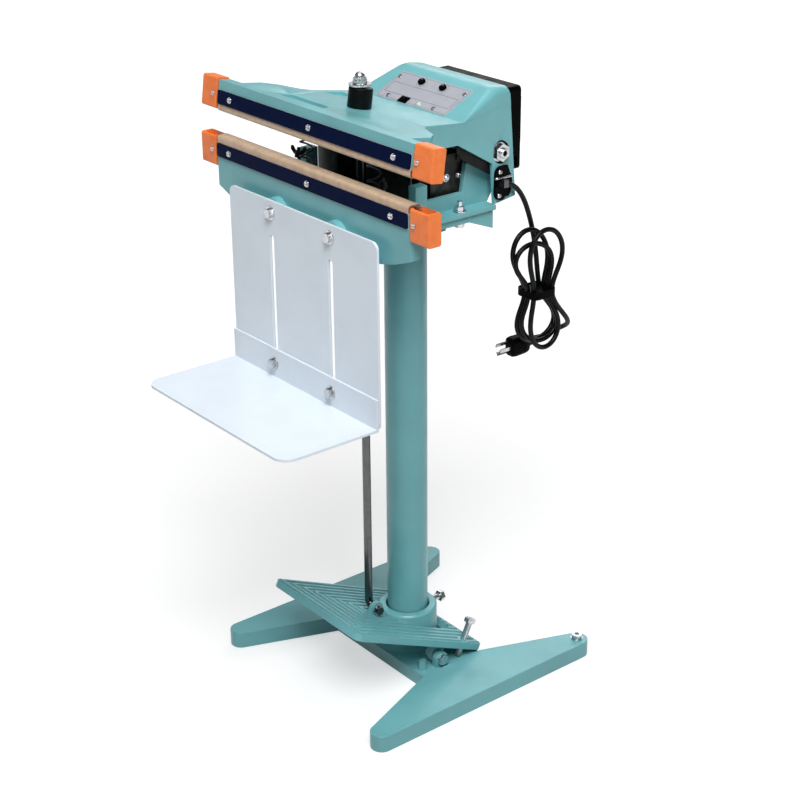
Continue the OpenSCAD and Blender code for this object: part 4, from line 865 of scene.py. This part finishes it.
class SEALER_OT_hood(bpy.types.Operator):
    """Lay the soft-edged skin over the hood, hang black strips of painted shade inside its flanks and seat
    the cord's clamp plate
    """
    bl_idname = "sealer.hood"
    bl_label = "Hood"

    def execute(self, context):
        outer, inner = [], []
        for y in STATIONS:
            # The front edge is crisp; up the slope the corners grow round and reach down the flanks
            grow = min(max((y - SLOPE_Y) / 48.0, 0.0), 1.0)
            radius, drop = 0.8 + 10.2 * grow, 1.6 + 22.0 * grow
            top = hood_top(y) - REAR_FALL.get(y, 0.0)
            outer.append(hood_section(y, top, radius, drop, 0.25))
            inner.append(hood_section(y, min(lining_top(y), top - 1.0), radius * 0.9, drop, -1.6))
        bm = bmesh.new()
        skin, lining = [[[bm.verts.new([v * MM for v in p]) for p in row] for row in rows]
                        for rows in (outer, inner)]
        for rows in (skin, lining):
            for a, b in zip(rows, rows[1:]):
                strip(bm, a, b)
        for k in (0, -1):
            strip(bm, skin[k], lining[k])
        for k in (0, -1):
            strip(bm, [row[k] for row in skin], [row[k] for row in lining])
        dress(mesh_piece("hood_skin", bm, 38.0), "arm", "teal_casting")
        self.shade_strips()
        self.clamp_plate()
        self.clamp_metal()
        self.pivot_trim()
        return {"FINISHED"}

    def shade_strips(self):
        """Painted shade: black strips that hang from the inner faces of the two flanks, down over the side
        walls, where the gap under the hood lies in shadow.
        """
        outline = [(-3.0, 690.0), (7.0, 686.0), (49.5, 660.0), (49.5, 641.0), (46.0, 643.0),
                   (13.0, 662.0), (4.0, 668.0), (-3.0, 676.0)]
        bm = bmesh.new()
        for side in (-1, 1):
            rings = [[bm.verts.new(on_flank(y, z, -inset, side)) for y, z in outline]
                     for inset in (HOOD_WALL - 0.3, HOOD_WALL + 1.8)]
            bm.faces.new(rings[0])
            bm.faces.new(rings[1])
            bridge(bm, rings)
        # Painted shade: the black rubber finish makes these strips stand for the shadowed gap under the hood.
        dress(mesh_piece("hood_shade_strips", bm), "arm", "black_rubber")

    def clamp_plate(self):
        """Backing plate of the cord's clamp, shaped to the narrow strip of flank that carries it."""
        outline = [(51.2, 638.0), (50.8, 626.0), (52.4, 620.5), (56.5, 616.2), (63.0, 614.0),
                   (73.5, 613.2), (76.5, 616.0), (79.0, 622.0), (81.0, 628.5), (80.4, 636.5),
                   (78.0, 638.5), (75.0, 648.0), (63.5, 649.3), (60.0, 647.0), (59.0, 641.5)]
        middle_y, middle_z = 65.5, 631.0
        bm = bmesh.new()
        rings = [[bm.verts.new(((hood_half(y, z) + proud) * MM, (y + (middle_y - y) * pull) * MM,
                                (z + (middle_z - z) * pull) * MM)) for y, z in outline]
                 for proud, pull in ((-0.3, 0.0), (1.2, 0.0), (1.7, 0.03))]
        bm.faces.new(rings[0])
        bm.faces.new(rings[-1])
        bridge(bm, rings)
        dress(mesh_piece("clamp_backing", bm), "arm", "black_plastic")

    def clamp_metal(self):
        """The clamp's two domed screws and the bent bar that crosses the cord."""
        heads = bmesh.new()
        for y, z in ((58.1, 643.8), (54.5, 618.0)):
            at = Matrix.Translation(on_flank(y, z, 3.5)) @ Matrix.Rotation(pi / 2, 4, "Y")
            lathe(heads, [(0.0, 0.0), (0.0028, 0.0), (0.0028, 0.0010), (0.0021, 0.0019), (0.0010, 0.0022),
                          (0.0009, 0.0015), (0.0, 0.0014)], at, 24)
        dress(mesh_piece("clamp_screw_heads", heads, 50.0), "arm", "screw_steel")
        front, rear = (51.5, 637.6), (76.5, 636.0)
        route = [on_flank(*front, 2.6), on_flank(*front, 4.6), on_flank(*rear, 4.6), on_flank(*rear, 1.2)]
        bend = [route[1].lerp(route[0], 0.5), route[1].lerp(route[2], 0.06)]
        dress(curve_piece("clamp_bar", [route[0], *bend, *route[2:]], 0.0014), "arm", "screw_steel")

    def pivot_trim(self):
        """Painted shade: a black cup that darkens each pivot recess, the steel socket in each end of the
        axle, and a black disc that darkens each socket's hollow.
        """
        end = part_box("pivot_axle")[1].x
        recess_shades, sockets, hollow_shades = bmesh.new(), bmesh.new(), bmesh.new()
        for side in (-1, 1):
            place = Matrix.Translation((0, PIVOT[0] * MM, PIVOT[1] * MM))
            at = place @ Matrix.Rotation(side * pi / 2, 4, "Y")
            lathe(recess_shades, [(0.0075, 0.0856), (0.0129, 0.0856), (0.0129, 0.0896), (0.0121, 0.0898),
                         (0.0119, 0.0866), (0.0075, 0.0862), (0.0075, 0.0856)], at, 44)
            socket = [(0.0, -0.0002), (0.0056, -0.0002), (0.0056, 0.0008), (0.0050, 0.0014),
                      (0.0033, 0.0014), (0.0029, 0.0004), (0.0, 0.0004)]
            hollow_shade = [(0.0, 0.0003), (0.00295, 0.0003), (0.00295, 0.0006), (0.0, 0.0006)]
            lathe(sockets, [(r, end + out) for r, out in socket], at, 36)
            lathe(hollow_shades, [(r, end + out) for r, out in hollow_shade], at, 24)
        # Painted shade: black cups darken the pivot recesses and black discs darken the axle sockets'
        # hollows.
        dress(mesh_piece("pivot_recess_shades", recess_shades), "arm", "black_rubber")
        dress(mesh_piece("axle_sockets", sockets), "arm", "screw_steel")
        dress(mesh_piece("socket_hollow_shades", hollow_shades), "arm", "black_plastic")


# ---------- panel ----------

# The panel plate's edges, measured from the dials' row: half width, and reach down and up the slope
PLATE_HALF, PLATE_DOWN, PLATE_UP, PLATE_T = 0.062, 0.0375, 0.0095, 0.0008
# Underside and top of the printed lines
PRINT_LOW, PRINT_HIGH = PLATE_T - 0.00002, PLATE_T + 0.00003


def line_frame(bm, x0, x1, y0, y1, width, at):
    """Adds a thin printed frame: four strokes between two corners."""
    middle_x, middle_y, across = (x0 + x1) / 2, (y0 + y1) / 2, x1 - x0 + width
    for cx, cy, w, h in ((middle_x, y0, across, width), (middle_x, y1, across, width),
                         (x0, middle_y, width, y1 - y0), (x1, middle_y, width, y1 - y0)):
        outline = [(cx + sx * w / 2, cy + sy * h / 2) for sx, sy in ((-1, -1), (1, -1), (1, 1), (-1, 1))]
        slab(bm, outline, PRINT_LOW, PRINT_HIGH, at)


class SEALER_OT_panel(bpy.types.Operator):
    """Print the panel plate's frames and scales and mark the dials"""
    bl_idname = "sealer.panel"
    bl_label = "Panel"

    def execute(self, context):
        joints = [JOINTS["heating_dial"], JOINTS["cooling_dial"]]
        normal = Vector(joints[0]["axis"])
        row = Vector(joints[0]["pos_m"])
        row.x = 0.0
        at = axes_matrix(row, (1, 0, 0), normal)
        bm = bmesh.new()
        outer, inner = 0.002, 0.006
        line_frame(bm, -PLATE_HALF + outer, PLATE_HALF - outer, -PLATE_DOWN + outer, PLATE_UP - outer,
                   0.0004, at)
        line_frame(bm, -PLATE_HALF + inner, PLATE_HALF - inner, -0.0265, -0.0095, 0.0005, at)
        for joint in joints:
            for k in range(11):
                turn = radians(-150 + 30 * k)
                tick = Matrix.Translation((joint["pos_m"][0], 0, 0)) @ Matrix.Rotation(turn, 4, "Z")
                reach = 0.0079 if k % 5 == 0 else 0.0072
                slab(bm, [(-0.0002, 0.0059), (0.0002, 0.0059), (0.0002, reach), (-0.0002, reach)],
                     PRINT_LOW, PRINT_HIGH, at @ tick)
        dress(mesh_piece("panel_print", bm), "arm", "black_plastic", finish=FINISHES["print"])
        self.knob(joints[0], "dial_left", "dial_heating", normal)
        self.knob(joints[1], "dial_right", "dial_cooling", normal)
        return {"FINISHED"}

    def knob(self, joint, body, node, normal):
        """Knurled black knob with a pale pointer line."""
        at = axes_matrix(Vector(joint["pos_m"]) + normal * 0.0011, (1, 0, 0), normal)
        bm = bmesh.new()
        ribs = 36
        rings = []
        for radius, z, groove in ((0.0043, 0.0, 0.0), (0.0044, 0.0004, 0.00022), (0.0044, 0.0026, 0.00022),
                                  (0.0040, 0.0032, 0.0), (0.0034, 0.0034, 0.0)):
            ring = []
            for k in range(ribs * 2):
                a = pi * k / ribs
                r = radius - groove * (k % 2)
                ring.append(bm.verts.new(at @ Vector((r * cos(a), r * sin(a), z))))
            rings.append(ring)
        bridge(bm, rings)
        bm.faces.new(rings[0])
        bm.faces.new(rings[-1])
        dress(mesh_piece(node + "_knob", bm, 25.0), body, "black_plastic", node)
        mark = bmesh.new()
        line = [(-0.0003, 0.0006), (0.0003, 0.0006), (0.0003, 0.0034), (-0.0003, 0.0034)]
        slab(mark, line, 0.0033, 0.00345, at)
        dress(mesh_piece(node + "_pointer", mark), body, "panel_silver")


# ---------- adjusters ----------

# Place of the studs to each side and how far each foot is sunk into the base
STUD_X, STUD_Y, STUD_SUNK = 0.077, -0.092, 0.0006
# A stud on its foot, the nut's boss and one wing, out to its tip and back
STUD = [(0.0, 0.0), (0.005, 0.0), (0.005, 0.003), (0.002, 0.0031), (0.002, 0.0545), (0.0015, 0.055),
        (0.0, 0.055)]
BOSS = [(0.0, 0.044), (0.0052, 0.044), (0.0048, 0.0462), (0.0034, 0.0515), (0.0, 0.0516)]
WING = [(0.003, 0.0455), (0.0062, 0.0475), (0.0098, 0.0525), (0.0095, 0.0565), (0.0068, 0.0566),
        (0.0050, 0.0528), (0.003, 0.0505)]
# The transformer's right face and the height of the screws on it
CORE_X, CORE_SCREW_Z = 0.068, 0.6412


class SEALER_OT_adjusters(bpy.types.Operator):
    """Set the wing nuts beside the return springs, the transformer's screws and a black sheet of painted
    shade beside the transformer
    """
    bl_idname = "sealer.adjusters"
    bl_label = "Wing nuts and shade sheet"

    def execute(self, context):
        foot_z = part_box("return_springs")[0].z - STUD_SUNK
        for name, stud_x, turn in (("adjuster_left", -STUD_X, 25.0), ("adjuster_right", STUD_X, -40.0)):
            at = Matrix.Translation((stud_x, STUD_Y, foot_z)) @ Matrix.Rotation(radians(turn), 4, "Z")
            upright = at @ Matrix.Rotation(pi / 2, 4, "X")
            bm = bmesh.new()
            lathe(bm, STUD, at, 20)
            lathe(bm, BOSS, at, 20)
            for side in (-1, 1):
                slab(bm, [(side * x, z) for x, z in WING], -0.0009, 0.0009, upright)
            dress(mesh_piece(name, bm, 40.0), "base", "black_metal")
        self.core_screws()
        self.transformer_shade_sheet()
        return {"FINISHED"}

    def core_screws(self):
        """Two slotted screws that hold the transformer's frame, on its right face."""
        bm = bmesh.new()
        for y, turn in ((0.0037, 20.0), (0.0222, -35.0)):
            at = Matrix.Translation((CORE_X, y, CORE_SCREW_Z)) @ Matrix.Rotation(pi / 2, 4, "Y")
            at = at @ Matrix.Rotation(radians(turn), 4, "Z")
            lathe(bm, [(0.0, -0.0003), (0.0045, -0.0003), (0.0045, 0.0006), (0.0031, 0.0008),
                       (0.0031, 0.0016), (0.0022, 0.0026), (0.0, 0.0028)], at, 24)
            slab(bm, round_box(0.0046, 0.0007, 0.0002, 2), 0.0024, 0.0031, at)
        dress(mesh_piece("core_screws", bm, 40.0), "base", "screw_steel")

    def transformer_shade_sheet(self):
        """Painted shade: a thin black sheet left of the transformer, out to the pillar, where the interior
        lies in shadow.
        """
        low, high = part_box("transformer")
        bm = bmesh.new()
        left, right, front, rear = low.x - 0.0305, low.x + 0.001, low.y + 0.0002, low.y + 0.0018
        outline = [(left, front), (right, front), (right, rear), (left, rear)]
        slab(bm, outline, low.z + 0.0163, high.z - 0.0005)
        # Painted shade: this black sheet stands for the shadowed interior beside the transformer.
        dress(mesh_piece("transformer_shade_sheet", bm), "base", "black_metal")


# ---------- stage ----------

# Each light's name and place, the height over the origin that it looks at, its width and its power
LIGHTS = (
    ("Key", (1.6, -1.15, 3.1), 0.4, 2.0, 118.0),
    ("Fill", (-0.6, 0.2, 3.4), 0.4, 2.4, 20.0),
    ("Rear", (-1.8, 2.4, 2.0), 0.5, 2.0, 22.0),
)


class SEALER_OT_stage(bpy.types.Operator):
    """Lay the pale floor and hang the studio lights"""
    bl_idname = "sealer.stage"
    bl_label = "Stage"

    def execute(self, context):
        bm = bmesh.new()
        slab(bm, [(-30, -30), (30, -30), (30, 30), (-30, 30)], -0.02, -0.0002)
        floor = mesh_piece("floor", bm)
        floor.data.materials.append(self.floor_finish())
        for light in LIGHTS:
            self.light(*light)
        world = bpy.data.worlds.new("Studio")
        context.scene.world = world
        world.use_nodes = True
        back = world.node_tree.nodes["Background"]
        fill(back, Color=(1.0, 1.0, 1.0, 1.0))
        path = add(world.node_tree, "ShaderNodeLightPath")
        level = stretch(world.node_tree, 0.0, 1.0, path.outputs["Is Camera Ray"], 0.13, 0.96)
        world.node_tree.links.new(level, back.inputs["Strength"])
        context.scene.view_settings.view_transform = "Standard"
        return {"FINISHED"}

    def floor_finish(self):
        """Pale floor that glows up to the backdrop with distance, for the camera and for reflections."""
        material, tree, shader = new_finish("Floor", (0.50, 0.503, 0.506), 0.9)
        away = add(tree, "ShaderNodeVectorMath", operation="LENGTH")
        tree.links.new(object_place(tree, (1.0, 1.0, 0.0)), away.inputs[0])
        glow = add(tree, "ShaderNodeEmission")
        tree.links.new(stretch(tree, 0.5, 4.0, away.outputs["Value"], 0.56, 0.96), glow.inputs["Strength"])
        path = add(tree, "ShaderNodeLightPath")
        seen = maths(tree, "MAXIMUM", path.outputs["Is Camera Ray"], path.outputs["Is Glossy Ray"])
        seen = maths(tree, "MAXIMUM", seen, path.outputs["Is Transmission Ray"])
        lit = add(tree, "ShaderNodeAddShader")
        mixed = add(tree, "ShaderNodeMixShader")
        tree.links.new(shader.outputs[0], lit.inputs[0])
        tree.links.new(glow.outputs[0], lit.inputs[1])
        tree.links.new(seen, mixed.inputs[0])
        tree.links.new(shader.outputs[0], mixed.inputs[1])
        tree.links.new(lit.outputs[0], mixed.inputs[2])
        tree.links.new(mixed.outputs[0], tree.nodes["Material Output"].inputs["Surface"])
        return material

    def light(self, name, place, target_z, size, power):
        """A round soft light that looks at a point over the origin."""
        data = bpy.data.lights.new(name, "AREA")
        data.shape = "DISK"
        data.size = size
        data.energy = power
        lamp = bpy.data.objects.new(name, data)
        lamp.location = place
        aim = Vector((0, 0, target_z)) - Vector(place)
        lamp.rotation_euler = aim.to_track_quat("-Z", "Y").to_euler()
        bpy.context.collection.objects.link(lamp)


# ---------- add-on ----------

STEPS = ("camera", "finishes", "cord", "castings", "springs", "hood", "panel", "adjusters", "stage")


class SEALER_PT_build(bpy.types.Panel):
    """Lists the building steps"""
    bl_idname = "SEALER_PT_build"
    bl_label = "Pedal sealer"
    bl_space_type = "VIEW_3D"
    bl_region_type = "UI"
    bl_category = "Sealer"

    def draw(self, context):
        for step in STEPS:
            self.layout.operator("sealer." + step)
        for group in (context.scene.sealer_sizes, context.scene.sealer_colours):
            for name in group.bl_rna.properties.keys():
                if name not in ("rna_type", "name"):
                    self.layout.prop(group, name)


CLASSES = (
    SealerSizes, SealerColours, SEALER_OT_camera, SEALER_OT_finishes, SEALER_OT_cord, SEALER_OT_castings,
    SEALER_OT_springs, SEALER_OT_hood, SEALER_OT_panel, SEALER_OT_adjusters, SEALER_OT_stage, SEALER_PT_build,
)


def register():
    for cls in CLASSES:
        bpy.utils.register_class(cls)
    bpy.types.Scene.sealer_sizes = bpy.props.PointerProperty(type=SealerSizes)
    bpy.types.Scene.sealer_colours = bpy.props.PointerProperty(type=SealerColours)


def unregister():
    del bpy.types.Scene.sealer_colours
    del bpy.types.Scene.sealer_sizes
    for cls in reversed(CLASSES):
        bpy.utils.unregister_class(cls)


def main():
    register()
    for step in STEPS:
        getattr(bpy.ops.sealer, step)()


if __name__ == "__main__":
    main()
